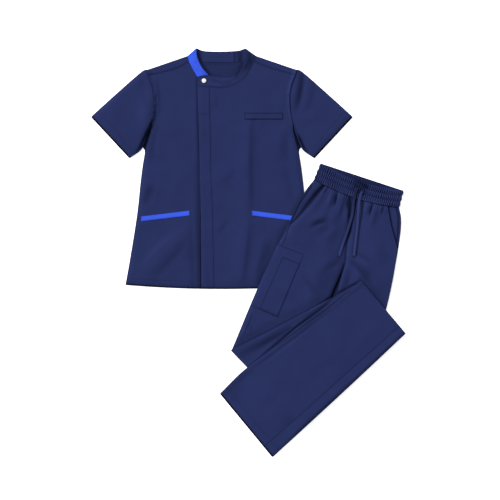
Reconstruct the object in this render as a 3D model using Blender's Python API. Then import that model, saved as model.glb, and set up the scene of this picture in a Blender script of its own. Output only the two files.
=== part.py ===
"""Medical scrubs laid flat: a short-sleeved tunic with a stand collar, and drawstring trousers that lie over
the tunic's lower corner with both lower legs folded across. Metres, +Z up, the surface they lie on at z = 0.

Each cut piece is a patch: a grid between four edge curves. Neighbours share the points of their seam, and each
patch keeps half a gap back from it. Patches are laid one after another on a pile, whose height is kept on a
fine grid, so that every layer rests just clear of the layers under it."""

import math

import bpy
import numpy as np

MM = 0.001
WALL = 1.5 * MM  # one layer of cloth
TRIM_WALL = 1.0 * MM  # welts and pocket pieces sewn on a panel
GAP = 0.3 * MM  # between pieces that meet, and between layers
CELL = 2.0 * MM  # spacing of the grid that holds the pile's height
REACH_X, REACH_Y = 0.480, 0.620  # half the area that the grid covers
EDGE_ROUND = 1.4 * MM  # how far a folded edge stands out past its two layers

# Where each garment's own origin lies, and how far it is turned, seen from above.
TUNIC_PLACE, TUNIC_TURN = (-0.0780, 0.5922), 0.0
TROUSERS_PLACE, TROUSERS_TURN = (0.3283, 0.2181), math.radians(-18.25)

# --- Tunic, in millimetres. across: from the centre line, to the wearer's left. drop: below the collar's tips.
# Outlines are the wearer's left half; the right is its mirror. Every table's columns are across, drop.
NECK_POINT = (99.5, 23.5)
YOKE_NECK = (92.8, 40.6)
SHOULDER_END = (217.5, 64.0)
YOKE_END = (213.0, 79.0)
UNDERARM = (205.0, 216.0)
HEM_CORNER = (279.3, 685.0)
HEM_MIDDLE_DROP = 697.5
ARMHOLE = [YOKE_END, (202.5, 106), (196.6, 136), (196.8, 164), (200.7, 195), UNDERARM]
SIDE_SEAM = [UNDERARM, (207.4, 244), (217, 282), (227, 325), (235, 383), (246, 484), (266.5, 613), HEM_CORNER]
SLEEVE_TOP = [SHOULDER_END, (230, 68.5), (262, 95.5), (312, 140.0), (376, 198)]
SLEEVE_UNDER = [UNDERARM, (211, 236), (227, 279), (237, 297), (265.4, 317)]
YOKE_SEAM = [YOKE_NECK, (130, 55), (178, 70), YOKE_END]
BACK_NECK = [(-NECK_POINT[0], NECK_POINT[1]), (-84, 35), (-50, 41.8), (0, 42.5), (50, 41.8), (84, 35), NECK_POINT]
BACK_COLLAR_TOP = [(-72.5, 1.2), (-50, 9), (0, 10.4), (46, 8), (67.0, 1.7)]
LEFT_NECK = [(-36.3, 113.2), (0, 115.4), (33.6, 107.6), (62.6, 88.7), (82.7, 62), YOKE_NECK]
LEFT_COLLAR_TOP = [(-69.3, 82.7), (-17, 83.4), (10, 84.4), (31.6, 79), (49.3, 60), (65.8, 35.7), (68.2, 1.2)]
RIGHT_NECK = [(-5, 112), (-46, 104), (-69.6, 85), (-82.7, 62), (-YOKE_NECK[0], YOKE_NECK[1])]
RIGHT_COLLAR_TOP = [(-5, 84), (-37.4, 80), (-57.4, 57.7), (-67.3, 35.7), (-73.4, 0)]
BAND_EDGE = [(-71.3, 110.8), (-67.9, 241), (-64.7, 378), (-61.2, 484), (-59.2, 696.9)]
BAND_SEAM = [(-36.3, 113.2), (-33.5, 241), (-31.3, 378), (-26.4, 484), (-22.9, 697.4)]
UNDERLAP_EDGE = [(-5, 112), (0, 378), (3, 697.5)]
ARM_CORNER_SPACE = 2.0  # between the back and the sleeve's rolled edge under the arm
ARM_CORNER_FOOT = (219.5, 292.0)  # where the back's side leaves the corner under the arm
# Pocket welts: name, its two upper corners, height
WELTS = [
    ("hip_welt_right", (-93.7, 472.1), (-233.5, 488.9), 13.9),
    ("hip_welt_left", (87.2, 472.1), (233.5, 490.5), 13.9),
    ("chest_welt", (65.5, 190.0), (176.6, 190.0), 17.4),
]
SNAP_PLACE, SNAP_RADIUS = (-52.2, 94.0), 7.1
UNDERLAP_FADE = 60.0  # across how much width the hidden front edge sinks flat
TUNIC_PUFF = 2.6  # how far the front stands off the back along the middle
PUFF_START, PUFF_RISE = 60.0, 160.0  # the drop where it starts to rise, and over what run
PUFF_END, PUFF_FALL = 767.5, 200.0  # the drop where it would be back at nothing, and over what run
SLEEVE_PUFF = 3.2  # how far a sleeve's mouth stands open

# Soft folds pressed up in the tunic. Columns: from across, drop; to across, drop; height; half width
TUNIC_FOLDS = [
    (80, 215, 68, 470, 2.2, 17),
    (75, 500, 60, 650, 3.0, 20),
    (-110, 548, -206, 640, 3.0, 18),
    (-193, 394, -223, 444, 2.4, 16),
    (-187, 229, -197, 296, 2.0, 14),
    (47, 354, 0, 394, 2.0, 18),
    (226, 82, 210, 168, 2.4, 13),
]

# --- Trousers, in millimetres. across: from the waist's middle, to the wearer's left. drop: below the waist.
WAIST_TOP_HALF, WAIST_SEAM_HALF = 126.0, 129.5
BAND_HEIGHT = 50.5
FRONT_DIP = 14.0  # how far the front of the waist sags below the back
GATHERS, CHANNELS = 46, 3
GATHER_DEPTH, CHANNEL_PUFF = 1.1, 1.5
RIGHT_OUTSEAM = [(-129.5, 50.5), (-144.1, 90), (-155.4, 186), (-167.9, 259), (-186.8, 400), (-201.6, 592)]
LEFT_OUTSEAM = [(129.5, 50.5), (145.6, 80), (157.8, 125), (167, 177), (174, 227), (184.4, 315), (190, 420)]
CENTRE_SEAM = [(4, 64.5), (10, 140), (20, 205), (31, 249)]
BACK_SEAM = [(4, 50.5), (10, 140), (20, 205), (31, 249)]
RIGHT_INSEAM = [(31, 249), (27, 300), (22, 356), (17, 500), (14, 706)]
LEFT_INSEAM = [(31, 249), (31.5, 300), (33, 356), (36, 420)]
RIGHT_SLASH = [(-98.3, 56.4), (-122, 118), (-154.0, 186)]
LEFT_SLASH = [(97.4, 56.6), (128, 110), (163.5, 163)]
SLASH_UNDER = 12.0  # how far a pocket's facing runs on under the front
LEAST_STEP = 15.0  # the least drop between a pocket's end and the next point of its side seam
CARGO_POCKET = [(-163, 261), (-91.3, 266), (-105.3, 463.5), (-178, 458)]  # four corners, clockwise
PHONE_POCKET = [(-142.6, 292), (-94.3, 295), (-107.2, 460), (-161, 455)]
SLASH_OPEN = 4.0  # how far the right pocket's edge stands open
LEG_PUFF = 3.0
# The folded legs press the thighs: from full height PRESSED_RUN above PRESSED_DROP down to a share of it
PRESSED_DROP, PRESSED_RUN, PRESSED_SHARE = 430.0, 120.0, 0.2

# Pleats that fall from the waistband, and soft folds below them. Columns as in TUNIC_FOLDS
TROUSER_FOLDS = [
    (-72, 58, -70, 120, 3.0, 8),
    (-40, 60, -42, 135, 3.6, 8),
    (-12, 62, -2, 150, 3.6, 7),
    (34, 62, 40, 110, 2.6, 7),
    (66, 60, 60, 150, 3.0, 8),
    (112, 50, 142, 100, 3.0, 8),
    (-135, 175, -80, 160, 2.4, 16),
    (60, 225, 150, 262, 3.0, 12),
    (45, 262, 140, 300, 2.6, 12),
    (-20, 240, -60, 420, 2.6, 20),
]

# The route of each drawstring end, over the waistband and down the front
RIGHT_STRING = [(-5.2, 35.3), (-3.5, 60), (2, 84), (6.1, 106), (8.0, 150), (8.4, 195), (8.2, 239.6)]
LEFT_STRING = [(14.1, 38.1), (12.8, 61), (16.5, 82), (21, 101), (32, 140), (42, 178), (50.1, 225.8)]
STRING_WIDTH, STRING_FLATNESS = 9.0 * MM, 0.2  # the cord is a round tube pressed flat
STRING_STEPS = 12

# The lower legs, in the same frame. The right leg turns over at RIGHT_OUTSEAM's end, and TURNED gives the
# edges of what then lies on top; the left leg's lower part, TOP, lies over both.
TURNED_UPPER = [RIGHT_OUTSEAM[-1], (-114.5, 506.5), (-13.5, 400.8), (87.8, 296.0)]
TURNED_LOWER = [RIGHT_INSEAM[-1], (125, 560), (236.2, 401.5)]
TOP_UPPER = [(91.5, 286.8), (30.5, 398), (-38.7, 493.1), (-139.4, 630.1), (-192.4, 722.4)]
TOP_SEAM = [(237.3, 376.1), (-23.1, 829.1)]  # the outseam, rolled onto the front
TOP_LOWER = [(261.0, 390.6), (136, 621), (8.8, 849.1)]
TOP_PUFF = 2.4
HIDDEN_THICK = 3.4  # the hidden layers between the thighs and the turned leg
HIDDEN_INSET = 5.0

NAVY = (0.021, 0.029, 0.112)
NAVY_INSIDE = (0.017, 0.023, 0.092)
ACCENT_BLUE = (0.048, 0.117, 0.84)
CORD_BLUE = (0.045, 0.061, 0.205)
PEARL_WHITE = (0.88, 0.88, 0.90)


def clear_scene():
    for obj in list(bpy.data.objects):
        bpy.data.objects.remove(obj, do_unlink=True)


def finish_of(name, colour, roughness=0.82):
    """A material for one piece, so that each can be given its own finish."""
    material = bpy.data.materials.new(name)
    material.use_nodes = True
    shader = material.node_tree.nodes["Principled BSDF"]
    shader.inputs["Base Color"].default_value = (*colour, 1.0)
    shader.inputs["Roughness"].default_value = roughness
    shader.inputs["Metallic"].default_value = 0.0
    return material


# --- Curves and patches in a garment's own frame


def curve(points, count):
    """count + 1 points, evenly spaced on a smooth curve through the given ones."""
    points = np.array(points, float)
    padded = np.concatenate([[2 * points[0] - points[1]], points, [2 * points[-1] - points[-2]]])
    t = np.linspace(0, 1, 24, endpoint=False)[:, None]
    fine = []
    for a, b, c, d in zip(padded, padded[1:], padded[2:], padded[3:]):
        bend = (2 * a - 5 * b + 4 * c - d) * t**2 + (3 * b - a - 3 * c + d) * t**3
        fine.append(b + 0.5 * ((c - a) * t + bend))
    fine = np.concatenate(fine + [points[-1:]])
    length = np.concatenate([[0], np.cumsum(np.linalg.norm(np.diff(fine, axis=0), axis=1))])
    at = np.linspace(0, length[-1], count + 1)
    return np.stack([np.interp(at, length, fine[:, k]) for k in range(2)], axis=-1)


def joined(*parts):
    """Edge curves end to end as one, each shared point once."""
    return np.concatenate([parts[0]] + [part[1:] for part in parts[1:]])


def mirrored(points):
    return np.array(points, float) * (-1, 1)


def patch(start, end, left, right):
    """A grid between four edge curves: rows run from start to end, columns from left to right."""
    s = np.linspace(0, 1, len(start))[None, :, None]
    t = np.linspace(0, 1, len(left))[:, None, None]
    across = (1 - t) * start[None] + t * end[None]
    along = (1 - s) * left[:, None] + s * right[:, None]
    corners = (1 - s) * ((1 - t) * left[0] + t * left[-1]) + s * ((1 - t) * right[0] + t * right[-1])
    return across + along - corners


def on_surface(plan, place, turn):
    """A garment's own across and drop, in millimetres, as x and y in metres."""
    x, y = plan[..., 0] * MM, -plan[..., 1] * MM
    turned = x * math.cos(turn) - y * math.sin(turn), x * math.sin(turn) + y * math.cos(turn)
    return np.stack(turned, axis=-1) + place


def on_tunic(plan):
    return on_surface(plan, TUNIC_PLACE, TUNIC_TURN)


def on_trousers(plan):
    return on_surface(plan, TROUSERS_PLACE, TROUSERS_TURN)


def kept_back(xy, by=GAP / 2):
    """The patch with its border moved in, square to each edge."""
    moved = xy.copy()
    for turn in range(4):
        border, source = np.rot90(moved, turn), np.rot90(xy, turn)
        tangent = np.gradient(source[0], axis=0)
        normal = np.stack([-tangent[:, 1], tangent[:, 0]], axis=-1)
        normal /= np.linalg.norm(normal, axis=1)[:, None]
        inward = np.sign(((source[1] - source[0]) * normal).sum(axis=1))[:, None]
        border[0] += by * inward * normal
    return moved


def fold_heights(plan, folds):
    """How far soft folds lift a patch, from a table of ridges."""
    lift = np.zeros(plan.shape[:2])
    for x0, y0, x1, y1, height, width in folds:
        start, run = np.array([x0, y0]), np.array([x1 - x0, y1 - y0])
        t = np.clip(((plan - start) @ run) / (run @ run), 0, 1)
        away = np.linalg.norm(plan - start - t[..., None] * run, axis=-1)
        lift = np.maximum(lift, height * np.exp(-((away / width) ** 2)))
    return lift * MM


def spread(values, rows, columns):
    """A grid of values read again at another number of rows and columns."""
    old_rows, old_columns = values.shape
    wide = np.array([np.interp(np.linspace(0, 1, columns), np.linspace(0, 1, old_columns), row) for row in values])
    return np.array([np.interp(np.linspace(0, 1, rows), np.linspace(0, 1, old_rows), line) for line in wide.T]).T


# --- The pile


def grid_triangles(rows, columns, closed=False, turn=None):
    """Corner indices of the two triangles in each cell of a grid. Where a wall turns back under itself, its
    cells from column turn on are split the other way, so that both layers bend along the same lines."""
    index = np.arange(rows * columns).reshape(rows, columns)
    if closed:
        index = np.concatenate([index, index[:, :1]], axis=1)
    a, b, c, d = index[:-1, :-1], index[1:, :-1], index[1:, 1:], index[:-1, 1:]
    under = np.arange(a.shape[1]) >= (a.shape[1] if turn is None else turn)
    first, second = np.where(under, d, c), np.where(under, b, a)
    return np.concatenate([np.stack(trio, axis=-1).reshape(-1, 3) for trio in ((a, b, first), (second, c, d))])


class Pile:
    """The height of all that has been laid, kept on a square grid over the surface."""

    def __init__(self):
        self.low = np.array([-REACH_X, -REACH_Y])
        self.size = [int(2 * reach / CELL) + 1 for reach in (REACH_X, REACH_Y)]
        self.height = np.zeros(self.size)

    def under(self, xy):
        """The grid points under a patch, with the corners of the triangle over each and its weights there."""
        flat = (xy.reshape(-1, 2) - self.low) / CELL
        cells, owners, shares = [], [], []
        for corners in grid_triangles(*xy.shape[:2]):
            p = flat[corners]
            first, last = np.ceil(p.min(axis=0)).astype(int), np.floor(p.max(axis=0)).astype(int)
            x, y = (g.ravel() for g in np.meshgrid(*(np.arange(a, b + 1) for a, b in zip(first, last))))
            frame = np.vstack([p.T, np.ones(3)])
            if not len(x) or abs(np.linalg.det(frame)) < 1e-3:
                continue
            weights = np.linalg.solve(frame, np.vstack([x, y, np.ones(len(x))])).T
            inside = (weights > -1e-6).all(axis=1)
            cells.append(x[inside] * self.size[1] + y[inside])
            owners.append(np.repeat(corners[None], inside.sum(), axis=0))
            shares.append(weights[inside])
        return np.concatenate(cells), np.concatenate(owners), np.concatenate(shares)

    def needed(self):
        """How high a layer must be to clear the pile, with a cell's margin round each edge."""
        wide = self.height.copy()
        for axis in (0, 1):
            wide = np.maximum(wide, np.maximum(np.roll(wide, 1, axis=axis), np.roll(wide, -1, axis=axis)))
        return np.where(wide > 0, wide + GAP, 0.0)

    def rest(self, xy, bridging=3):
        """The height of a patch's underside when it lies on the pile, bridging small steps softly."""
        cells, corners, weights = self.under(xy)
        needed = self.needed().ravel()[cells]
        z = np.zeros(xy.shape[0] * xy.shape[1])
        for _ in range(80):
            short = np.maximum(needed - (weights * z[corners]).sum(axis=1), 0)
            if short.max() < 1e-7:
                break
            np.maximum.at(z, corners.ravel(), (short[:, None] + z[corners]).ravel())
        z = z.reshape(xy.shape[:2])
        for _ in range(bridging):
            wide = np.pad(z, 1, mode="edge")
            around = (wide[:-2, 1:-1] + wide[2:, 1:-1] + wide[1:-1, :-2] + wide[1:-1, 2:]) / 4
            z = np.maximum(z, (z + around) / 2)
        return z

    def add(self, xy, top):
        """Raises the pile to the top of a patch that has been laid."""
        cells, corners, weights = self.under(xy)
        np.maximum.at(self.height.reshape(-1), cells, (weights * top.ravel()[corners]).sum(axis=1))

    def highest(self, point, radius):
        """The highest point of the pile within a radius."""
        x, y = ((point - self.low) / CELL).round().astype(int)
        r = math.ceil(radius / CELL)
        return self.height[x - r : x + r + 1, y - r : y + r + 1].max()


# --- Solids


def signed_volume(points, faces):
    a, b, c = (points[faces[:, k]] for k in range(3))
    return (a * np.cross(b, c)).sum() / 6


def solid(name, points, faces, material):
    """A mesh object from triangles that close it, turned to face outwards."""
    if signed_volume(points, faces) < 0:
        faces = faces[:, ::-1]
    mesh = bpy.data.meshes.new(name)
    mesh.from_pydata(points.tolist(), [], faces.tolist())
    mesh.materials.append(material)
    obj = bpy.data.objects.new(name, mesh)
    bpy.context.scene.collection.objects.link(obj)
    return obj


def border(rows, columns):
    """The border of a grid of points, once round, back to its first."""
    index = np.arange(rows * columns).reshape(rows, columns)
    return np.concatenate([index[0], index[1:, -1], index[-1, -2::-1], index[-2::-1, 0]])


def band_between(first, second):
    """Triangles between two loops of point numbers."""
    a, b, c, d = first[:-1], first[1:], second[:-1], second[1:]
    return np.concatenate([np.stack([a, b, c], axis=-1), np.stack([b, d, c], axis=-1)])


def wall(name, outer, inner, material, turn=None):
    """A wall of cloth between two grids of points."""
    count = outer.shape[0] * outer.shape[1]
    skin = grid_triangles(*outer.shape[:2], turn=turn)
    rim = border(*outer.shape[:2])
    faces = np.concatenate([skin, skin[:, ::-1] + count, band_between(rim, rim + count)])
    return solid(name, np.concatenate([outer.reshape(-1, 3), inner.reshape(-1, 3)]), faces, material)


def tube_wall(name, outer, inner, material, turn):
    """A wall that closes round on itself, open at both ends; each row of points is one section."""
    rows, columns = outer.shape[:2]
    count = rows * columns
    skin = grid_triangles(rows, columns, True, turn)
    index = np.arange(count).reshape(rows, columns)
    near, far = np.append(index[0], index[0, 0]), np.append(index[-1], index[-1, 0])
    mouths = [band_between(near, near + count), band_between(far + count, far)]
    faces = np.concatenate([skin, skin[:, ::-1] + count, *mouths])
    return solid(name, np.concatenate([outer.reshape(-1, 3), inner.reshape(-1, 3)]), faces, material)


def raised(xy, z):
    return np.concatenate([xy, np.broadcast_to(z, xy.shape[:-1])[..., None]], axis=-1)


def lay(pile, *pieces, thick=WALL, stand=None):
    """Lays sheets that meet side by side, then raises the pile. Each piece: name, x and y, lift, colour.
    The lift counts from what a sheet lies on or, with stand given, from that height."""
    rests = [pile.rest(xy) for _, xy, _, _ in pieces]
    lifts = [lift for _, _, lift, _ in pieces]
    if stand is None:
        heights = [rest + lift for rest, lift in zip(rests, lifts)]
    else:
        heights = [np.maximum(rest, stand + lift) for rest, lift in zip(rests, lifts)]
    for (name, xy, _, colour), z in zip(pieces, heights):
        wall(name, raised(xy, z + thick), raised(xy, z), finish_of(name, colour))
        pile.add(xy, z + thick)
    return heights


# --- Tunic


def hem(from_across, to_across, count):
    """The tunic's hem, a shallow arc."""
    across = np.linspace(from_across, to_across, count + 1)
    drop = HEM_MIDDLE_DROP - (HEM_MIDDLE_DROP - HEM_CORNER[1]) * (across / HEM_CORNER[0]) ** 2
    return np.stack([across, drop], axis=-1)


def tunic_puff(plan):
    """How far the front stands off the back: most along the middle, nothing at the sides."""
    edge = np.array(ARMHOLE + SIDE_SEAM[1:])
    half = np.interp(plan[..., 1], edge[:, 1], edge[:, 0])
    swell = np.clip(1 - (plan[..., 0] / half) ** 2, 0, 1)
    neck_end = np.clip((plan[..., 1] - PUFF_START) / PUFF_RISE, 0, 1)
    hem_end = np.clip((PUFF_END - plan[..., 1]) / PUFF_FALL, 0, 1)
    return TUNIC_PUFF * MM * swell * neck_end * hem_end


def underlap_share(plan):
    """The right front's rise above the back sinks to nothing where the overlap covers it."""
    return np.clip((BAND_SEAM[0][0] - plan[..., 0]) / UNDERLAP_FADE, 0, 1)


def tunic_piece(name, plan, colour=NAVY, shown=1.0):
    lift = tunic_puff(plan) + fold_heights(plan, TUNIC_FOLDS)
    return name, kept_back(on_tunic(plan)), shown * lift, colour


def back_edge():
    """The back's side. Under the arm it runs on beside the sleeve, and fills the corner between sleeve and body."""
    corner = curve(SLEEVE_UNDER, 8)[:5]
    along = np.gradient(corner, axis=0)
    along /= np.linalg.norm(along, axis=1)[:, None]
    corner[1:] += ARM_CORNER_SPACE * np.stack([-along[1:, 1], along[1:, 0]], axis=-1)
    side = curve([tuple(corner[-1]), ARM_CORNER_FOOT, *SIDE_SEAM[3:]], 10)
    return joined(curve([SHOULDER_END, YOKE_END], 2), curve(ARMHOLE, 7), corner, side)


def back_plan():
    """The back, and the stand collar that meets it at the back of the neck."""
    shoulder = curve([NECK_POINT, SHOULDER_END], 4)
    neck = curve(BACK_NECK, 12)
    start = joined(mirrored(shoulder)[::-1], neck, shoulder)
    panel = patch(start, hem(-HEM_CORNER[0], HEM_CORNER[0], len(start) - 1), mirrored(back_edge()), back_edge())
    collar_top = curve(BACK_COLLAR_TOP, 12)
    collar = patch(collar_top, neck, curve([collar_top[0], neck[0]], 2), curve([collar_top[-1], neck[-1]], 2))
    return panel, collar


def left_front_plans():
    """The wearer's left front with its overlap band, shoulder piece and collar."""
    neck, yoke_seam = curve(LEFT_NECK, 7), curve(YOKE_SEAM, 6)
    seam = curve(BAND_SEAM, 19)
    edge = joined(curve(ARMHOLE, 7), curve(SIDE_SEAM, 12))
    front = patch(joined(neck, yoke_seam), hem(seam[-1][0], HEM_CORNER[0], 13), seam, edge)
    band_edge = curve(BAND_EDGE, 19)
    band_neck = curve([BAND_EDGE[0], BAND_SEAM[0]], 2)
    band = patch(band_neck, hem(band_edge[-1][0], seam[-1][0], 2), band_edge, seam)
    yoke_neck = curve([YOKE_NECK, NECK_POINT], 2)
    collar_foot = joined(band_neck, neck, yoke_neck)
    collar_top = curve(LEFT_COLLAR_TOP, len(collar_foot) - 1)
    ends = [curve([collar_top[k], collar_foot[k]], 2) for k in (0, -1)]
    return front, band, patch(collar_top, collar_foot, *ends)


def yoke_plan():
    """The shoulder piece that comes forward over the wearer's left shoulder."""
    shoulder = curve([NECK_POINT, SHOULDER_END], 6)
    neck, end = curve([NECK_POINT, YOKE_NECK], 2), curve([SHOULDER_END, YOKE_END], 2)
    return patch(shoulder, curve(YOKE_SEAM, 6), neck, end)


def right_front_plans():
    """The wearer's right front, whose front edge runs on under the overlap, and the collar on it."""
    neck = curve(RIGHT_NECK, 5)
    under_edge = curve(UNDERLAP_EDGE, 19)
    edge = mirrored(joined(curve(ARMHOLE, 7), curve(SIDE_SEAM, 12)))
    top = joined(neck, mirrored(curve(YOKE_SEAM, 6)))
    front = patch(top, hem(under_edge[-1][0], -HEM_CORNER[0], 11), under_edge, edge)
    foot = joined(neck, mirrored(curve([YOKE_NECK, NECK_POINT], 2)))
    collar_top = curve(RIGHT_COLLAR_TOP, len(foot) - 1)
    ends = [curve([collar_top[k], foot[k]], 2) for k in (0, -1)]
    return front, patch(collar_top, foot, *ends)


def sleeve_plan():
    armhole = joined(curve([SHOULDER_END, YOKE_END], 2), curve(ARMHOLE, 7))
    mouth = curve([SLEEVE_TOP[-1], SLEEVE_UNDER[-1]], len(armhole) - 1)
    return patch(armhole, mouth, curve(SLEEVE_TOP, 8), curve(SLEEVE_UNDER, 8))


def outwards(xy, edge, neighbour):
    """The unit direction out of a patch across one of its long edges."""
    out = xy[:, edge] - xy[:, neighbour]
    return out / np.linalg.norm(out, axis=1)[:, None]


def folded_edge(xy, edge, neighbour, under, over):
    """Outer and inner points, top to bottom, of a wall that turns from its upper layer to its lower one."""
    out = outwards(xy, edge, neighbour)
    middle = (under + over + WALL) / 2
    outer = [raised(xy[:, edge], over + WALL), raised(xy[:, edge] + EDGE_ROUND * out, middle)]
    inner = [raised(xy[:, edge] - WALL * out, over), raised(xy[:, edge] - 0.4 * WALL * out, middle)]
    outer.append(raised(xy[:, edge], under))
    inner.append(raised(xy[:, edge] - WALL * out, under + WALL))
    return outer, inner


def make_sleeve(pile, name, plan):
    """A sleeve is one flattened tube, with its mouth a little open."""
    xy = kept_back(on_tunic(plan))
    rows, columns = xy.shape[:2]
    under = pile.rest(xy, bridging=0)
    swell = np.sin(np.linspace(0, math.pi, columns))[None] * np.linspace(0, 1, rows)[:, None]
    over = under + WALL + GAP + SLEEVE_PUFF * MM * swell
    over[:, 1:-1] += fold_heights(plan, TUNIC_FOLDS)[:, 1:-1]
    near = folded_edge(xy, 0, 1, under[:, 0], over[:, 0])
    far = folded_edge(xy, -1, -2, under[:, -1], over[:, -1])
    middle = slice(1, -1)
    sides = []
    for k, (upper, lower) in enumerate(((over + WALL, under), (over, under + WALL))):
        top = [*raised(xy, upper)[:, middle].transpose(1, 0, 2)]
        bottom = [*raised(xy, lower)[:, middle].transpose(1, 0, 2)][::-1]
        sides.append(np.stack(near[k][::-1][1:] + top + far[k] + bottom + near[k][::-1][:1], axis=1))
    tube_wall(name, *sides, finish_of(name, NAVY), turn=columns + 1)
    return xy, over + WALL


def welt_plan(inner, outer, height):
    """A narrow strip sewn over a pocket's mouth."""
    top = curve([inner, outer], 6)
    foot = top + (0, height)
    return patch(top, foot, curve([top[0], foot[0]], 1), curve([top[-1], foot[-1]], 1))


def make_snap(pile):
    """The cap of the press stud on the collar's end: a low dome with a rolled rim."""
    centre = on_tunic(np.array(SNAP_PLACE))
    base = pile.highest(centre, SNAP_RADIUS * MM) + GAP
    # columns: share of the radius, height in millimetres
    profile = [(0.88, 0.0), (1.0, 0.7), (0.97, 1.5), (0.82, 2.1), (0.66, 1.9), (0.4, 2.35)]
    sides = 20
    turn = np.linspace(0, 2 * math.pi, sides, endpoint=False)
    ring = np.stack([np.cos(turn), np.sin(turn)], axis=-1)
    points = [raised(centre + share * SNAP_RADIUS * MM * ring, base + high * MM) for share, high in profile]
    points = np.concatenate(points + [[[*centre, base]], [[*centre, base + 2.5 * MM]]])
    skin = grid_triangles(len(profile), sides, closed=True)
    first = np.append(np.arange(sides), 0)
    last = first + (len(profile) - 1) * sides
    low, high = len(points) - 2, len(points) - 1
    foot = np.stack([first[1:], first[:-1], np.full(sides, low)], axis=-1)
    crown = np.stack([last[:-1], last[1:], np.full(sides, high)], axis=-1)
    solid("snap_cap", points, np.concatenate([skin[:, ::-1], foot, crown]), finish_of("snap_cap", PEARL_WHITE, 0.25))


def make_tunic(pile):
    back, back_collar = back_plan()
    front, band, collar = left_front_plans()
    right_front, right_collar = right_front_plans()
    lay(
        pile,
        ("tunic_back", kept_back(on_tunic(back)), 0.0, NAVY_INSIDE),
        ("collar_back", kept_back(on_tunic(back_collar)), 0.0, NAVY),
    )
    empty = Pile()
    sleeves = [make_sleeve(empty, "sleeve_left", sleeve_plan())]
    sleeves.append(make_sleeve(empty, "sleeve_right", mirrored(sleeve_plan())))
    lay(
        pile,
        tunic_piece("tunic_front_right", right_front, shown=underlap_share(right_front)),
        tunic_piece("yoke_right", mirrored(yoke_plan())),
        tunic_piece("collar_right", right_collar, ACCENT_BLUE, underlap_share(right_collar)),
        stand=WALL + GAP,
    )
    lay(
        pile,
        tunic_piece("tunic_front_left", front),
        tunic_piece("overlap_band", band),
        tunic_piece("yoke_left", yoke_plan()),
        tunic_piece("collar_left", collar),
        stand=WALL + GAP,
    )
    for xy, top in sleeves:
        pile.add(xy, top)
    make_snap(pile)
    for name, inner, outer, height in WELTS:
        colour = NAVY if name == "chest_welt" else ACCENT_BLUE
        lay(pile, (name, on_tunic(welt_plan(inner, outer, height)), 0.0, colour), thick=TRIM_WALL)


# --- Trousers


def waist_curve(half, drop, dip, from_across=-1.0, to_across=1.0, count=12):
    """A line across the waist that sags by dip at its middle; the limits are shares of its half width."""
    share = np.linspace(from_across, to_across, count + 1)
    return np.stack([half * share, drop + dip * (1 - share**2)], axis=-1)


def front_seam(from_across, to_across, count):
    """A stretch of the seam under the front of the waistband."""
    shares = from_across / WAIST_SEAM_HALF, to_across / WAIST_SEAM_HALF
    return waist_curve(WAIST_SEAM_HALF, BAND_HEIGHT, FRONT_DIP, *shares, count)


def band_plan(dip, rows, columns):
    top = waist_curve(WAIST_TOP_HALF, 0.0, dip, count=columns)
    foot = waist_curve(WAIST_SEAM_HALF, BAND_HEIGHT, dip, count=columns)
    return patch(top, foot, *(curve([top[k], foot[k]], rows) for k in (0, -1)))


def leg_lift(plan):
    """A leg's upper layer stands off the lower one along its middle, flatter where the folded legs lie."""
    swell = np.sin(np.linspace(0, math.pi, plan.shape[1]))[None]
    pressed = np.clip((PRESSED_DROP - plan[..., 1]) / PRESSED_RUN, PRESSED_SHARE, 1)
    return pressed * (LEG_PUFF * MM * swell + fold_heights(plan, TROUSER_FOLDS))


def trouser_piece(name, plan, lift=0.0, colour=NAVY):
    return name, kept_back(on_trousers(plan)), lift, colour


def fold_line(count):
    """Where the right leg is turned over."""
    return curve([RIGHT_OUTSEAM[-1], RIGHT_INSEAM[-1]], count)


def back_plans():
    """The right and left backs. Between the legs they meet, so the left one backs the slit between the fronts."""
    seam = curve(BACK_SEAM, 5)
    start = curve([RIGHT_OUTSEAM[0], BACK_SEAM[0]], 9)
    right = patch(start, fold_line(9), curve(RIGHT_OUTSEAM, 14), joined(seam, curve(RIGHT_INSEAM, 9)))
    start = curve([BACK_SEAM[0], LEFT_OUTSEAM[0]], 8)
    inseam = curve(RIGHT_INSEAM, 9)[:4]
    end = curve([tuple(inseam[-1]), LEFT_OUTSEAM[-1]], 8)
    left = patch(start, end, joined(seam, inseam), curve(LEFT_OUTSEAM, 8))
    return right, left


def below(points, start, count):
    """The stretch of a side's curve from a point on it down to its end."""
    rest = [point for point in points if point[1] > start[1] + LEAST_STEP]
    return curve([start, *rest], count)


def front_plans():
    start = front_seam(RIGHT_SLASH[0][0], CENTRE_SEAM[0][0], 14)
    side = joined(curve(RIGHT_SLASH, 4), below(RIGHT_OUTSEAM, RIGHT_SLASH[-1], 11))
    middle = joined(curve([start[-1], *CENTRE_SEAM[1:]], 6), curve(RIGHT_INSEAM, 9))
    right = patch(start, fold_line(14), side, middle)
    start = front_seam(CENTRE_SEAM[0][0], LEFT_SLASH[0][0], 11)
    side = joined(curve(LEFT_SLASH, 4), below(LEFT_OUTSEAM, LEFT_SLASH[-1], 8))
    middle = joined(curve([start[0], *CENTRE_SEAM[1:]], 6), curve(LEFT_INSEAM, 6))
    left = patch(start, curve([LEFT_INSEAM[-1], LEFT_OUTSEAM[-1]], 11), middle, side)
    return right, left


def facing_plan(slash, outseam, side):
    """The pocket's facing, which shows between the slanted mouth and the side seam."""
    inner = curve([(x - side * SLASH_UNDER, y) for x, y in slash], 5)
    end = np.array(slash[-1]) + (side * 1.0, 8)
    outer = curve([outseam[0], *(p for p in outseam[1:] if p[1] < end[1] - 5), end], 5)
    start = front_seam(outer[0][0], inner[0][0], 3)
    inner = curve([start[-1], *inner[1:]], 5)
    return patch(start, curve([outer[-1], inner[-1]], 3), outer, inner)


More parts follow.
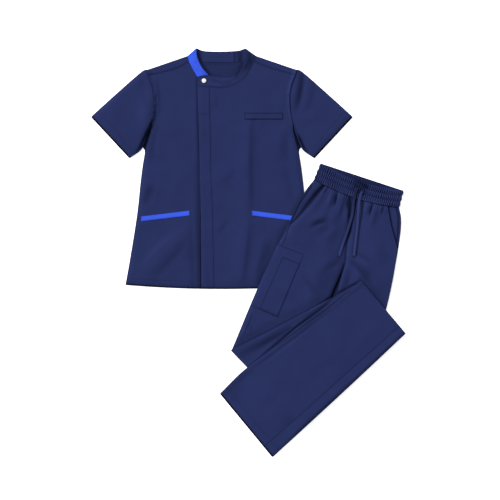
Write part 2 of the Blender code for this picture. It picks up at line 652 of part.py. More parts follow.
def make_waistband(pile, front_band):
    """The front of the waistband: three gathered channels over a plain inside."""
    rows, columns = 2 * CHANNELS + 1, 2 * GATHERS + 1
    xy = kept_back(on_trousers(band_plan(FRONT_DIP, rows - 1, columns - 1)))
    z = spread(front_band, rows, columns)
    down = np.linspace(0, 1, rows)[:, None]
    along = np.arange(columns)[None]
    puff = np.abs(np.sin(down * CHANNELS * math.pi)) * CHANNEL_PUFF * MM
    gather = ((along + np.arange(rows)[:, None] // 2) % 2) * GATHER_DEPTH * MM * np.ones((rows, 1))
    top = z + WALL + puff + gather
    wall("waistband_front", raised(xy, top), raised(xy, z), finish_of("waistband_front", NAVY))
    pile.add(xy, top)
    coarse = kept_back(on_trousers(band_plan(FRONT_DIP, 6, 24)))
    pile.add(coarse, spread(front_band, 7, 25) + WALL + (CHANNEL_PUFF + GATHER_DEPTH) * MM)


def make_upper_trousers(pile):
    right_back, left_back = back_plans()
    back_xy = kept_back(on_trousers(right_back))
    back_z = pile.rest(back_xy, bridging=6)
    pieces = [
        trouser_piece("trouser_back_left", left_back, 0.0, NAVY_INSIDE),
        trouser_piece("waistband_back", band_plan(0.0, 3, 12), 0.0, NAVY_INSIDE),
    ]
    lay(pile, *pieces)
    pile.add(back_xy, back_z + WALL)
    lay(
        pile,
        trouser_piece("pocket_facing_right", facing_plan(RIGHT_SLASH, RIGHT_OUTSEAM, -1)),
        trouser_piece("pocket_facing_left", facing_plan(LEFT_SLASH, LEFT_OUTSEAM, 1)),
    )
    band_xy = kept_back(on_trousers(band_plan(FRONT_DIP, 6, 24)))
    band_z = pile.rest(band_xy)
    right, left = front_plans()
    lift = leg_lift(right)
    lift[1:5, 0] += SLASH_OPEN * MM * np.array([0.6, 1.0, 0.8, 0.2])
    lay(
        pile,
        trouser_piece("trouser_front_right", right, lift),
        trouser_piece("trouser_front_left", left, leg_lift(left)),
    )
    make_waistband(pile, band_z)
    return back_xy, back_z


def make_pockets(pile):
    for name, corners in (("cargo_pocket", CARGO_POCKET), ("phone_pocket", PHONE_POCKET)):
        a, b, c, d = corners
        plan = patch(curve([a, b], 4), curve([d, c], 4), curve([a, d], 8), curve([b, c], 8))
        lay(pile, (name, on_trousers(plan), 0.0, NAVY), thick=TRIM_WALL)


def string_route(pile, points):
    """A drawstring end's route on the pile, from where it leaves the waistband to its bare end."""
    xy = on_trousers(curve(points, STRING_STEPS))
    half = STRING_WIDTH * STRING_FLATNESS / 2
    z = np.array([pile.highest(point, STRING_WIDTH / 2) for point in xy]) + GAP + half
    for _ in range(6):
        ends = np.pad(z, 1, mode="edge")
        z = np.maximum(z, (ends[:-2] + ends[2:]) / 2)
    return raised(xy, z)


def make_string(name, route):
    """A flat cord: a round tube pressed flat by its object's own scale."""
    data = bpy.data.curves.new(name, "CURVE")
    data.dimensions = "3D"
    data.bevel_depth = STRING_WIDTH / 2
    data.bevel_resolution = 2
    data.use_fill_caps = True
    spline = data.splines.new("POLY")
    spline.points.add(len(route) - 1)
    for point, (x, y, z) in zip(spline.points, route):
        point.co = (x, y, z / STRING_FLATNESS, 1.0)
    data.materials.append(finish_of(name, CORD_BLUE))
    obj = bpy.data.objects.new(name, data)
    obj.scale = (1.0, 1.0, STRING_FLATNESS)
    bpy.context.scene.collection.objects.link(obj)


# --- Lower legs


def turned_plan(columns=9):
    """The right leg past its fold, lying back over the thighs."""
    end = curve([TURNED_UPPER[-1], TURNED_LOWER[-1]], columns)
    return patch(fold_line(columns), end, curve(TURNED_UPPER, 12), curve(TURNED_LOWER, 12))


def make_hidden_layers(pile):
    """The folded layers that nothing shows of but their edges: one slab with rounded, grooved sides."""
    xy = kept_back(on_trousers(turned_plan(8)), HIDDEN_INSET * MM)
    low = pile.rest(xy)
    thick = HIDDEN_THICK * MM
    centre = xy.reshape(-1, 2)
    rim = border(*xy.shape[:2])
    # columns: share of the height, how far the side stands out, in millimetres
    side = [(0.82, 0.9), (0.56, 0.8), (0.5, 0.0), (0.44, 0.8), (0.18, 0.9)]
    wide = kept_back(on_trousers(turned_plan(8)), (HIDDEN_INSET - 1) * MM).reshape(-1, 2)
    loops = []
    for share, stand in side:
        at = centre[rim[:-1]] + stand * (wide[rim[:-1]] - centre[rim[:-1]])
        loops.append(raised(at, low.ravel()[rim[:-1]] + share * thick))
    count, ring = len(centre), len(rim) - 1
    points = np.concatenate([raised(centre, low.ravel() + thick), raised(centre, low.ravel()), *loops])
    skin = grid_triangles(*xy.shape[:2])
    numbers = [rim] + [2 * count + k * ring + np.append(np.arange(ring), 0) for k in range(len(side))] + [rim + count]
    bands = [band_between(a, b) for a, b in zip(numbers, numbers[1:])]
    faces = np.concatenate([skin, skin[:, ::-1] + count, *bands])
    solid("folded_layers", points, faces, finish_of("folded_layers", NAVY_INSIDE))
    pile.add(xy, low + thick)


def make_right_back(pile, back_xy, back_z):
    """The right back runs under the thigh, round the fold and back over the top as one wall."""
    top_xy = kept_back(on_trousers(turned_plan()))
    top_z = pile.rest(top_xy)
    low, high = back_z[-1], top_z[0] + WALL
    middle, radius = (low + high) / 2, (high - low) / 2
    line = (back_xy[-1] + top_xy[0]) / 2
    along = line[-1] - line[0]
    out = np.array([along[1], -along[0]]) / np.linalg.norm(along)
    outer, inner = [raised(back_xy, back_z)], [raised(back_xy, back_z + WALL)]
    for angle in np.radians([-60, -25, 25, 60]):
        for rows, size in ((outer, radius), (inner, radius - WALL)):
            at = line + (size * math.cos(angle))[:, None] * out
            rows.append(raised(at, middle + size * math.sin(angle))[None])
    outer.append(raised(top_xy, top_z + WALL))
    inner.append(raised(top_xy, top_z))
    wall("trouser_back_right", np.concatenate(outer), np.concatenate(inner), finish_of("trouser_back_right", NAVY))
    pile.add(top_xy, top_z + WALL)


def make_top_leg(pile):
    """The left leg's lower part: a flattened tube of a front piece and a back piece, whose seam shows on top."""
    rows, front_columns, strip_columns = 16, 8, 2
    mouth, fold = [TOP_UPPER[-1], TOP_SEAM[-1], TOP_LOWER[-1]], [TOP_UPPER[0], TOP_SEAM[0], TOP_LOWER[0]]
    upper, seam, lower = (curve(points, rows) for points in (TOP_UPPER, TOP_SEAM, TOP_LOWER))
    main = patch(curve(fold[:2], front_columns), curve(mouth[:2], front_columns), upper, seam)
    strip = patch(curve(fold[1:], strip_columns), curve(mouth[1:], strip_columns), seam, lower)
    plan = np.concatenate([main, strip[:, 1:]], axis=1)
    xy = on_trousers(plan)
    under = pile.rest(xy)
    swell = np.sin(np.linspace(0, math.pi, xy.shape[1]))[None] * np.linspace(0, 1, rows + 1)[:, None] ** 0.5
    over = under + WALL + GAP + TOP_PUFF * MM * swell
    near, far = folded_edge(xy, 0, 1, under[:, 0], over[:, 0]), folded_edge(xy, -1, -2, under[:, -1], over[:, -1])
    half_gap = GAP / 2 * outwards(xy, front_columns + 1, front_columns)
    front_xy, strip_xy = xy[:, 1 : front_columns + 1].copy(), xy[:, front_columns:-1].copy()
    front_xy[:, -1] -= half_gap
    strip_xy[:, 0] += half_gap
    front_sides, back_sides = [], []
    for k, (upper_z, lower_z) in enumerate(((over + WALL, under), (over, under + WALL))):
        rolled = near[k][1] + (0, 0, GAP / 2)
        top = [*raised(front_xy, upper_z[:, 1 : front_columns + 1]).transpose(1, 0, 2)]
        front_sides.append(np.stack([rolled, near[k][0]] + top, axis=1))
        strip_top = [*raised(strip_xy, upper_z[:, front_columns:-1]).transpose(1, 0, 2)]
        bottom = [*raised(xy, lower_z)[:, 1:-1].transpose(1, 0, 2)][::-1]
        rolled = near[k][1] - (0, 0, GAP / 2)
        back_sides.append(np.stack(strip_top + far[k] + bottom + [near[k][2], rolled], axis=1))
    wall("lower_leg_front", *front_sides, finish_of("lower_leg_front", NAVY))
    wall("lower_leg_back", *back_sides, finish_of("lower_leg_back", NAVY), turn=strip_columns + 1)


def make_trousers(pile):
    back_xy, back_z = make_upper_trousers(pile)
    make_pockets(pile)
    for name, points in (("drawstring_right", RIGHT_STRING), ("drawstring_left", LEFT_STRING)):
        make_string(name, string_route(pile, points))
    make_hidden_layers(pile)
    make_right_back(pile, back_xy, back_z)
    make_top_leg(pile)


def main():
    clear_scene()
    pile = Pile()
    make_tunic(pile)
    make_trousers(pile)


main()
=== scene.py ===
# %% [markdown]
# # Medical scrubs, laid flat
# The set is a short-sleeved tunic with a stand collar, and drawstring trousers whose lower legs are folded
# across each other. Both lie on a table, seen from straight above. Flat clothes are hard to make look real,
# because nearly all that shows is the cut: where the seams run, how one layer lies over another, and the
# soft creases between. So each cut piece is made as its own thin sheet, in the order in which the layers
# lie.

import math

import bpy
import numpy as np
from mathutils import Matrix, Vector
from mathutils.bvhtree import BVHTree


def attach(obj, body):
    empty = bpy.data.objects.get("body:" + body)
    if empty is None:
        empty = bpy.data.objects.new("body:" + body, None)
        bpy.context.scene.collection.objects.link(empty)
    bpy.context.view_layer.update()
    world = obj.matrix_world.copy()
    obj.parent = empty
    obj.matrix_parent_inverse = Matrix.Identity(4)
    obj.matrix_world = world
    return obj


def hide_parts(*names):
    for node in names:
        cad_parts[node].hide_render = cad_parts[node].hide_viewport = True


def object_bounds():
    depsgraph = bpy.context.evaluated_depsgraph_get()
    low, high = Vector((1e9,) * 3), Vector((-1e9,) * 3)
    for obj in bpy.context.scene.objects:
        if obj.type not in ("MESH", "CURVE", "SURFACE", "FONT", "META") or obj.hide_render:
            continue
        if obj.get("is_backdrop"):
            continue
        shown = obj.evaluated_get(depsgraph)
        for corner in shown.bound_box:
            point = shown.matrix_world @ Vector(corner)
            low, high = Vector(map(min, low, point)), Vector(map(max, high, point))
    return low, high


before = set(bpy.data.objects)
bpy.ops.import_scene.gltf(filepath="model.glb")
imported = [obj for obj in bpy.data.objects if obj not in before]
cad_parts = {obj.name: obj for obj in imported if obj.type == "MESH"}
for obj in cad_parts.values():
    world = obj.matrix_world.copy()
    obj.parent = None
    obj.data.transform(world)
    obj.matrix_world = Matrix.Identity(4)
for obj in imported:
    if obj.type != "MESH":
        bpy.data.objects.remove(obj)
SOLID_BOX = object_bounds()
print("solids:", len(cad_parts), "box:", [tuple(round(x, 3) for x in corner) for corner in SOLID_BOX])

# %% [markdown]
# The camera looks straight down from well above, so that the cloth's outline isn't stretched by
# perspective. A long lens does that: the garments lie within 20 mm of the table, and from 4 m up that
# hardly shows. The view is as wide as a table of 1.45 m.

# %% Camera
MM = 0.001
VIEW_WIDTH = 1.45
VIEW_MIDDLE = (0.0035, 0.0064)
LENS, SENSOR = 100.0, 36.0

camera_data = bpy.data.cameras.new("overhead_camera")
camera_data.lens, camera_data.sensor_width = LENS, SENSOR
camera = bpy.data.objects.new("overhead_camera", camera_data)
camera.location = (*VIEW_MIDDLE, VIEW_WIDTH * LENS / SENSOR)
bpy.context.scene.collection.objects.link(camera)
bpy.context.scene.camera = camera
print("camera", round(camera.location.z, 2), "m above the table")

# %% [markdown]
# Each garment is drawn in a frame of its own, in millimetres, as a cutter would: *across* counts from the
# centre line to the wearer's left, and *drop* counts down from the top. Two numbers and a turn then put it
# on the table.

# %% Where the garments lie
TUNIC_PLACE, TUNIC_TURN = (-0.0780, 0.5922), 0.0
TROUSERS_PLACE, TROUSERS_TURN = (0.3283, 0.2181), math.radians(-18.25)


def on_table(plan, place, turn):
    """A garment's own across and drop, in millimetres, as x and y in metres."""
    x, y = plan[..., 0] * MM, -plan[..., 1] * MM
    turned = x * math.cos(turn) - y * math.sin(turn), x * math.sin(turn) + y * math.cos(turn)
    return np.stack(turned, axis=-1) + place


def on_tunic(plan):
    return on_table(plan, TUNIC_PLACE, TUNIC_TURN)


def on_trousers(plan):
    return on_table(plan, TROUSERS_PLACE, TROUSERS_TURN)


def raised(xy, z):
    return np.concatenate([xy, np.broadcast_to(z, xy.shape[:-1])[..., None]], axis=-1)


# %% [markdown]
# A cut edge is a smooth curve through a few points, as a cutter draws it with a French curve. Where an edge
# turns a corner, it is several curves end to end. An edge can be asked for points at any shares of its
# length, so the same cut can be made into a coarse grid or a fine one.


# %% Edges of the cut
def smooth_line(table, fineness=24):
    """A smooth line through the points of a table."""
    points = np.array(table, float)
    padded = np.concatenate([[2 * points[0] - points[1]], points, [2 * points[-1] - points[-2]]])
    t = np.linspace(0, 1, fineness, endpoint=False)[:, None]
    stretches = []
    for a, b, c, d in zip(padded, padded[1:], padded[2:], padded[3:]):
        bend = (2 * a - 5 * b + 4 * c - d) * t**2 + (3 * b - a - 3 * c + d) * t**3
        stretches.append(b + 0.5 * ((c - a) * t + bend))
    return np.concatenate(stretches + [points[-1:]])


def run_along(points):
    """How far along a line each of its points lies."""
    return np.concatenate([[0], np.cumsum(np.linalg.norm(np.diff(points, axis=0), axis=1))])


class Edge:
    """An edge of a piece: one smooth line, or several end to end."""

    def __init__(self, *tables):
        lines = [smooth_line(table) for table in tables]
        self.points = np.concatenate([lines[0]] + [line[1:] for line in lines[1:]])
        self.run = run_along(self.points)
        self.length = self.run[-1]
        ends = np.cumsum([len(line) for line in lines])[:-1] - np.arange(1, len(lines))
        self.corners = list(self.run[ends] / self.length)

    def at(self, shares):
        """Points at these shares of the edge's length."""
        along = np.asarray(shares, float) * self.length
        return np.stack([np.interp(along, self.run, self.points[:, k]) for k in (0, 1)], axis=-1)


def mirrored(table):
    return [(-across, drop) for across, drop in table]


# %% [markdown]
# The two drawstring ends come out of the waistband and lie loose on the front. They are flat woven cords, 9
# mm wide, so each is a tube with a flat, slightly waisted section that follows its route. Their height is
# read from the solids, which they replace.

# %% Drawstring routes
RIGHT_STRING = [(-3.3, 35.3), (-3.9, 50), (-1.6, 74), (6.4, 112), (8.0, 155), (7.4, 200), (8.0, 239.6)]
LEFT_STRING = [(14.2, 38.1), (11.8, 50), (14.2, 72), (22.6, 106), (32.6, 146), (41.4, 190), (48.8, 225.8)]
STRING_WIDTH, STRING_THICK = 9.0 * MM, 1.7 * MM
STRING_STEP = 1.6 * MM
ROUTE_ROUNDS = 12  # how often a route's height is evened out


def tree_of(node):
    """A solid's faces, ready to be felt for from above or below."""
    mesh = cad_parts[node].data
    return BVHTree.FromPolygons([v.co[:] for v in mesh.vertices], [p.vertices[:] for p in mesh.polygons])


def felt(tree, xy, down=True):
    """The height at which a straight line down, or up, first meets a solid. It is nan where it misses."""
    start, way = (1.0, Vector((0, 0, -1))) if down else (-1.0, Vector((0, 0, 1)))
    hits = [tree.ray_cast(Vector((x, y, start)), way)[0] for x, y in xy.reshape(-1, 2)]
    return np.array([np.nan if hit is None else hit.z for hit in hits]).reshape(xy.shape[:-1])


def string_route(node, table):
    """The middle line of a drawstring end, at the height of its solid."""
    edge = Edge(table)
    xy = on_trousers(edge.at(np.linspace(0, 1, int(edge.length * MM / STRING_STEP) + 1)))
    z = felt(tree_of(node), xy) - STRING_THICK / 2
    known = np.flatnonzero(~np.isnan(z))
    z = np.interp(np.arange(len(z)), known, z[known])
    for _ in range(ROUTE_ROUNDS):
        z[1:-1] = (z[:-2] + 2 * z[1:-1] + z[2:]) / 4
    return raised(xy, z)


string_routes = {
    "drawstring_right": string_route("drawstring_right", RIGHT_STRING),
    "drawstring_left": string_route("drawstring_left", LEFT_STRING),
}
for node, route in string_routes.items():
    print(node, "length", round(float(run_along(route)[-1]), 4))

# %% [markdown]
# A cord is a tube: a ring of points at each step of its route, and faces between each ring and the next.
# The helpers for that are written for any grid of points, because the sheets of cloth and the stitches need
# them too.


# %% Meshes from grids of points
def unit(ways):
    """These directions, each at a length of one."""
    return ways / np.linalg.norm(ways, axis=-1)[..., None]


def level_side(ways):
    """The level direction square to each of these."""
    return unit(np.stack([-ways[:, 1], ways[:, 0], np.zeros(len(ways))], axis=-1))


def wrapped(grid):
    """A grid with its first column once more at its end."""
    return np.concatenate([grid, grid[:, :1]], axis=1)


def grid_quads(index):
    """The four points of each face between the points of a grid."""
    corners = index[:-1, :-1], index[:-1, 1:], index[1:, 1:], index[1:, :-1]
    return np.stack(corners, axis=-1).reshape(-1, 4)


def tube_faces(index):
    """The walls and the two ends of a tube; each row of the grid is a ring."""
    return grid_quads(wrapped(index)).tolist() + [index[0][::-1].tolist(), index[-1].tolist()]


def mesh_object(name, points, faces, uv=None):
    """A smooth-shaded mesh object with one UV for each point."""
    mesh = bpy.data.meshes.new(name)
    mesh.from_pydata(points.tolist(), [], faces)
    mesh.polygons.foreach_set("use_smooth", [True] * len(mesh.polygons))
    if uv is not None:
        corners = np.empty(len(mesh.loops), int)
        mesh.loops.foreach_get("vertex_index", corners)
        mesh.uv_layers.new(name="cut").data.foreach_set("uv", uv[corners].astype(np.float32).ravel())
    obj = bpy.data.objects.new(name, mesh)
    bpy.context.scene.collection.objects.link(obj)
    return obj


def add_attribute(obj, name, values):
    """A number for each point of a mesh, which a finish can read."""
    obj.data.attributes.new(name, "FLOAT", "POINT").data.foreach_set("value", values.astype(np.float32))


# %% Flat woven cord
STRING_SIDES = 20
STRING_END = 2.2 * MM  # over what length its end is pinched together
PINCHED_WIDTH = 0.7  # the share of its width that is left there
SQUARED = 0.6, 0.8  # powers that square off a round section, sideways and upwards
WAIST = 0.2  # how much thinner the cord is in its middle
# columns: millimetres along the string, and the shade painted on it there, by the cloth that it comes out
# from
STRING_SHADE = {
    "drawstring_right": [(0, 0.55), (8, 0.72), (30, 0.58), (55, 0.42), (90, 0.30), (150, 0.16), (180, 0.0)],
    "drawstring_left": [(0, 0.40), (10, 0.0)],
}


def string_section(turn):
    """Side and height of each point of the section: flat, round at its edges, waisted in its middle."""
    side, high = (np.sign(part) * np.abs(part) ** power
                  for part, power in zip((np.cos(turn), np.sin(turn)), SQUARED))
    return side, high * (1 - WAIST + WAIST * side**2)


def make_string(node, route):
    """One drawstring end as a closed tube along its route."""
    run = run_along(route)
    pinch = np.sqrt(np.clip(np.minimum(run, run[-1] - run) / STRING_END, 0.02, 1))[:, None]
    wide, high = string_section(np.linspace(0, 2 * math.pi, STRING_SIDES, endpoint=False))
    reach = STRING_WIDTH / 2 * wide * (PINCHED_WIDTH + (1 - PINCHED_WIDTH) * pinch)
    rings = route[:, None] + level_side(np.gradient(route, axis=0))[:, None] * reach[..., None]
    rings[..., 2] += STRING_THICK / 2 * high * pinch
    across, along = np.broadcast_arrays(STRING_WIDTH / 2 * wide, run[:, None])
    uv = np.stack([across, along], axis=-1).reshape(-1, 2)
    faces = tube_faces(np.arange(along.size).reshape(along.shape))
    string = mesh_object(node + "_cord", rings.reshape(-1, 3), faces, uv)
    # painted shade on the string, where the cloth that it comes out from shades it
    add_attribute(string, "pressed", np.repeat(np.interp(run / MM, *zip(*STRING_SHADE[node])), STRING_SIDES))
    return string


strings = []
for node, route in string_routes.items():
    string = make_string(node, route)
    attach(string, "root")
    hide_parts(node)
    strings.append(string)
    print(string.name, len(string.data.polygons), "faces")

# %% [markdown]
# A panel is the cloth between four edges, filled in as a grid (a *Coons patch*). Grid lines are crowded
# together along the edges, where the cloth is turned under and rounds off, and along each sewn line, where
# the thread pulls it down. Elsewhere they can lie a few millimetres apart.

# %% Panels
SIDES = "start", "end", "left", "right"
EDGE_LINES = (0.2, 0.6, 1.2)  # millimetres in from a cut edge where grid lines lie
SEAM_LINES = (-1.0, 0.0, 1.0)  # the same on either side of a sewn line
STEP = 4.0  # millimetres between grid lines elsewhere
SAME = 1e-6  # grid lines no further apart than this are one line


def grid_shares(length, step, corners=(), near=(), far=()):
    """Shares of a length where grid lines lie. near and far: sewn lines, in millimetres from either end."""
    marks = [0.0, length] + [corner * length for corner in corners]
    marks += [mark for inset in EDGE_LINES for mark in (inset, length - inset)]
    marks += [inset + around for inset in near for around in SEAM_LINES]
    marks += [length - inset - around for inset in far for around in SEAM_LINES]
    marks = sorted(mark for mark in marks if 0 <= mark <= length)
    shares = [marks[0]]
    for mark in marks[1:]:
        pieces = max(1, round((mark - shares[-1]) / step))
        shares += list(np.linspace(shares[-1], mark, pieces + 1)[1:])
    kept = [shares[0]] + [b for a, b in zip(shares, shares[1:]) if b - a > SAME]
    return np.array(kept) / length


class Panel:
    """The cut of one piece. Rows run from start to end, columns from left to right.

    A pair of edges that is left out is straight between the ends of the other pair."""

    def __init__(self, start=None, end=None, left=None, right=None):
        if start is None:
            start, end = (Edge([left.points[k], right.points[k]]) for k in (0, -1))
        if left is None:
            left, right = (Edge([start.points[k], end.points[k]]) for k in (0, -1))
        self.start, self.end, self.left, self.right = start, end, left, right
        self.width, self.length = max(start.length, end.length), max(left.length, right.length)

    def lines(self, step=STEP, sewn=(), over_step=None):
        """Shares down and across for its grid lines. sewn: pairs of a side and how far in it is sewn."""
        insets = {side: [inset for name, inset in sewn if name == side] for side in SIDES}
        down = grid_shares(self.length, step, self.left.corners + self.right.corners,
                           insets["start"], insets["end"])
        over = grid_shares(self.width, over_step or step, self.start.corners + self.end.corners,
                           insets["left"], insets["right"])
        return down, over

    def plan(self, down, over):
        """The grid's points, in the garment's millimetres."""
        s, t = over[None, :, None], down[:, None, None]
        start, end = self.start.at(over), self.end.at(over)
        left, right = self.left.at(down), self.right.at(down)
        along = (1 - t) * start[None] + t * end[None] + (1 - s) * left[:, None] + s * right[:, None]
        corners = (1 - s) * ((1 - t) * left[0] + t * left[-1]) + s * ((1 - t) * right[0] + t * right[-1])
        return along - corners


# %% [markdown]
# The height of each piece is felt on its solid, on a coarse grid of 12 mm, and smoothed. Reading it again
# between those points with a smooth curve takes the flat facets out of it, and keeps its form.

# %% Heights felt on the solids
COARSE = 12.0
INSIDE = 2.0  # millimetres in from the edge where the outermost heights are felt


def grown(z, count=1):
    """A grid with rows and columns added around it that carry on its slope."""
    return np.pad(z, count, mode="reflect", reflect_type="odd")


def softened(z, times):
    """A grid of heights, each evened out with those around it."""
    for _ in range(times):
        wide = grown(z)
        z = (wide[:-2] + 2 * wide[1:-1] + wide[2:]) / 4
        z = (z[:, :-2] + 2 * z[:, 1:-1] + z[:, 2:]) / 4
    return z


def with_gaps_filled(z):
    """A grid of heights with each missing one taken from its neighbours."""
    z = z.copy()
    while np.isnan(z).any():
        wide = np.pad(z, 1, constant_values=np.nan)
        around = np.stack([wide[:-2, 1:-1], wide[2:, 1:-1], wide[1:-1, :-2], wide[1:-1, 2:]])
        count = (~np.isnan(around)).sum(axis=0)
        mean = np.nansum(around, axis=0) / np.maximum(count, 1)
        z = np.where(np.isnan(z) & (count > 0), mean, z)
    return z


def smooth_weights(shares, count):
    """What each of count even points, and one more past each end, gives to a smooth curve at these shares."""
    x = np.clip(shares, 0, 1) * (count - 1)
    first = np.minimum(x.astype(int), count - 2)
    t = x - first
    parts = [-t + 2 * t**2 - t**3, 2 - 5 * t**2 + 3 * t**3, t + 4 * t**2 - 3 * t**3, -(t**2) + t**3]
    weights = np.zeros((len(shares), count + 2))
    for k, part in enumerate(parts):
        weights[np.arange(len(shares)), first + k] += part / 2
    return weights


def felt_height(panel, place, node, down, over, times=2, top=True):
    """The smoothed height of a solid's upper or under side, at a panel's grid lines."""
    counts = [max(4, round(length / COARSE) + 1) for length in (panel.length, panel.width)]
    inside = [np.clip(np.linspace(0, 1, count), INSIDE / length, 1 - INSIDE / length)
              for count, length in zip(counts, (panel.length, panel.width))]
    z = softened(with_gaps_filled(felt(tree_of(node), place(panel.plan(*inside)), top)), times)
    return smooth_weights(down, counts[0]) @ grown(z) @ smooth_weights(over, counts[1]).T


# %% [markdown]
# Creases are drawn, one row of a table each: where they start and end, how far they bow sideways,
# their height (a trough where it is negative) and half width, and how much steeper one side is. Each fades
# out at its ends. A trough pushes up low banks beside it, and the cloth down in a steep one gets shade
# painted into its colour. Broad ripples of less than a millimetre go over everything, because no cloth lies
# quite flat.

# %% Creases and ripples
CREASE_STEPS = 10
CREASE_FADE = 0.7  # the smaller, the more suddenly a crease ends
BANK_SHARE, BANK_REACH = 0.7, 2.4
# how dark the shade painted into a trough is for its steepness, and at most
STEEP_SHADE, CREASE_DARKEST = 1.5, 0.9
RIPPLE_WAVES, RIPPLE_SPREAD = 7, (0.7, 1.6)


def bell(away, width):
    """1 on a line, and less and less to either side of it."""
    return np.exp(-((away / width) ** 2))


def crease_height(plan, creases):
    """How far a table of creases lifts or sinks a panel, in metres, and the shade painted down in its
    troughs, from 0 to 1.
    """
    lift, shade = np.zeros(plan.shape[:2]), np.zeros(plan.shape[:2])
    for x0, y0, x1, y1, bow, height, width, lean in creases:
        start, end = np.array([x0, y0], float), np.array([x1, y1], float)
        run = end - start
        normal = np.array([-run[1], run[0]]) / np.linalg.norm(run)
        t = np.linspace(0, 1, CREASE_STEPS + 1)[:, None]
        line = start + t * run + 4 * t * (1 - t) * bow * normal
        nearest = np.full(plan.shape[:2], np.inf)
        found, side = np.zeros(plan.shape[:2]), np.zeros(plan.shape[:2])
        for k, (a, b) in enumerate(zip(line, line[1:])):
            step = b - a
            u = np.clip((plan - a) @ step / (step @ step), 0, 1)
            off = plan - a - u[..., None] * step
            away = np.linalg.norm(off, axis=-1)
            closer = away < nearest
            nearest = np.where(closer, away, nearest)
            found = np.where(closer, (k + u) / CREASE_STEPS, found)
            side = np.where(closer, np.sign(off @ normal), side)
        fade = np.sin(math.pi * np.clip(found, 0.02, 0.98)) ** CREASE_FADE
        reach = width * (1 + lean * side)
        near = bell(nearest, reach)
        lift += height * fade * near
        if height < 0:
            lift -= BANK_SHARE * height * fade * bell(nearest, BANK_REACH * reach)
            shade = np.maximum(shade, min(CREASE_DARKEST, -STEEP_SHADE * height / width) * fade * near**2)
    return lift * MM, shade


def ripples(plan, wavelength, height, seed):
    """Soft uneven waves, the same on each run."""
    rng = np.random.default_rng(seed)
    total = np.zeros(plan.shape[:2])
    for _ in range(RIPPLE_WAVES):
        angle, phase = rng.uniform(0, 2 * math.pi), rng.uniform(0, 2 * math.pi)
        share = rng.uniform(*RIPPLE_SPREAD)
        along = plan[..., 0] * math.cos(angle) + plan[..., 1] * math.sin(angle)
        total += np.sin(2 * math.pi * along / (wavelength * share) + phase)
    return total / RIPPLE_WAVES**0.5 * height * MM


# %% [markdown]
# Layers must never show through each other. A height map of the table keeps the top of all that has been
# laid, in cells of 2 mm. A new piece is lifted wherever it would sink into the map, and the lift is spread
# a little, as cloth bridges the step at the edge of a layer under it.

# %% The pile of layers
CELL = 2.0 * MM
PILE_REACH = np.array([0.56, 0.68])
CLEAR = 0.12 * MM
pile = np.zeros([int(2 * reach / CELL) + 1 for reach in PILE_REACH])


def cells_at(xy):
    """The cells of the height map that hold these points."""
    cells = np.round((xy + PILE_REACH) / CELL).astype(int)
    return cells[..., 0], cells[..., 1]


def finer(grid):
    """A grid of points with one more halfway between each two."""
    rows, columns = grid.shape[:2]
    wide = np.empty((2 * rows - 1, columns, grid.shape[2]))
    wide[::2], wide[1::2] = grid, (grid[1:] + grid[:-1]) / 2
    full = np.empty((2 * rows - 1, 2 * columns - 1, grid.shape[2]))
    full[:, ::2], full[:, 1::2] = wide, (wide[:, 1:] + wide[:, :-1]) / 2
    return full


def add_to_pile(xy, top):
    """Raises the height map to the top of a piece."""
    for _ in range(2):
        xy, top = finer(xy), finer(top[..., None])[..., 0]
    np.maximum.at(pile, cells_at(xy), top)


def support(xy):
    """How high a layer's underside must be to clear the pile, with a cell's margin round it."""
    wide = pile.copy()
    for axis in (0, 1):
        wide = np.maximum(wide, np.maximum(np.roll(wide, 1, axis), np.roll(wide, -1, axis)))
    found = wide[cells_at(xy)]
    return np.where(found > 0, found + CLEAR, 0.0)


def cleared(xy, low, times=5):
    """A layer's underside, lifted softly wherever it would sink into the pile."""
    short = np.maximum(support(xy) - low, 0)
    for _ in range(times):
        short = np.maximum(short, softened(short, 1))
    return low + short


# %% [markdown]
# The sheet itself is a wall of cloth about a middle surface: each point of the grid gives one point on
# either side, square to it. Towards an edge the two come together in a half circle, so that every edge is
# soft and catches the light. A sewn line is a narrow valley with slight puckers across it.

# %% Sheets of cloth
CLOTH = 1.35 * MM  # one layer with its turned edges
SEAM_DEPTH, SEAM_WIDTH = 0.34 * MM, 1.3 * MM
PUCKER, PUCKER_LENGTH, PUCKER_REACH = 0.10 * MM, 9.0 * MM, 6.0 * MM
SECOND_PUCKER, SECOND_LENGTH = 0.6, 1.7  # a weaker and longer wave over the first makes them uneven
WIDE_HEM, PRESSED_FLAT = 10.0, 0.3  # a line deeper in than this is a hem's, pressed almost flat
DROOP, DROOP_REACH = 1.5 * MM, 7.0 * MM
QUARTER_TURNS = {"start": 0, "right": 1, "end": 2, "left": 3}  # these bring each side to the first row


def edge_distance(points, side):
    """How far each point of a grid is from one side of it, along the grid, with the run along that side."""
    grid = np.rot90(points, QUARTER_TURNS[side])
    down, over = (np.linalg.norm(np.diff(grid, axis=axis), axis=-1) for axis in (0, 1))
    away = np.concatenate([np.zeros((1, grid.shape[1])), np.cumsum(down, axis=0)])
    run = np.concatenate([np.zeros((grid.shape[0], 1)), np.cumsum(over, axis=1)], axis=1)
    return np.rot90(away, -QUARTER_TURNS[side]), np.rot90(run, -QUARTER_TURNS[side])


def seam_relief(xy, sewn, phase=0.0):
    """How far the thread of each sewn line pulls the cloth down, with puckers beside it."""
    relief = np.zeros(xy.shape[:2])
    for side, inset in sewn:
        away, run = edge_distance(xy, side)
        off = away - inset * MM
        turns = 2 * math.pi * run / PUCKER_LENGTH
        wave = np.sin(turns + phase) + SECOND_PUCKER * np.sin(turns / SECOND_LENGTH)
        relief -= SEAM_DEPTH * (PRESSED_FLAT if inset > WIDE_HEM else 1) * bell(off, SEAM_WIDTH)
        relief += PUCKER * wave * bell(off, PUCKER_REACH)
    return relief


def droop(xy, sides, height=DROOP):
    """Cloth stands up a little and curves down towards these sides, over the last centimetre."""
    rise = np.full(xy.shape[:2], height)
    for side in sides:
        rise *= 1 - bell(edge_distance(xy, side)[0], DROOP_REACH)
    return rise


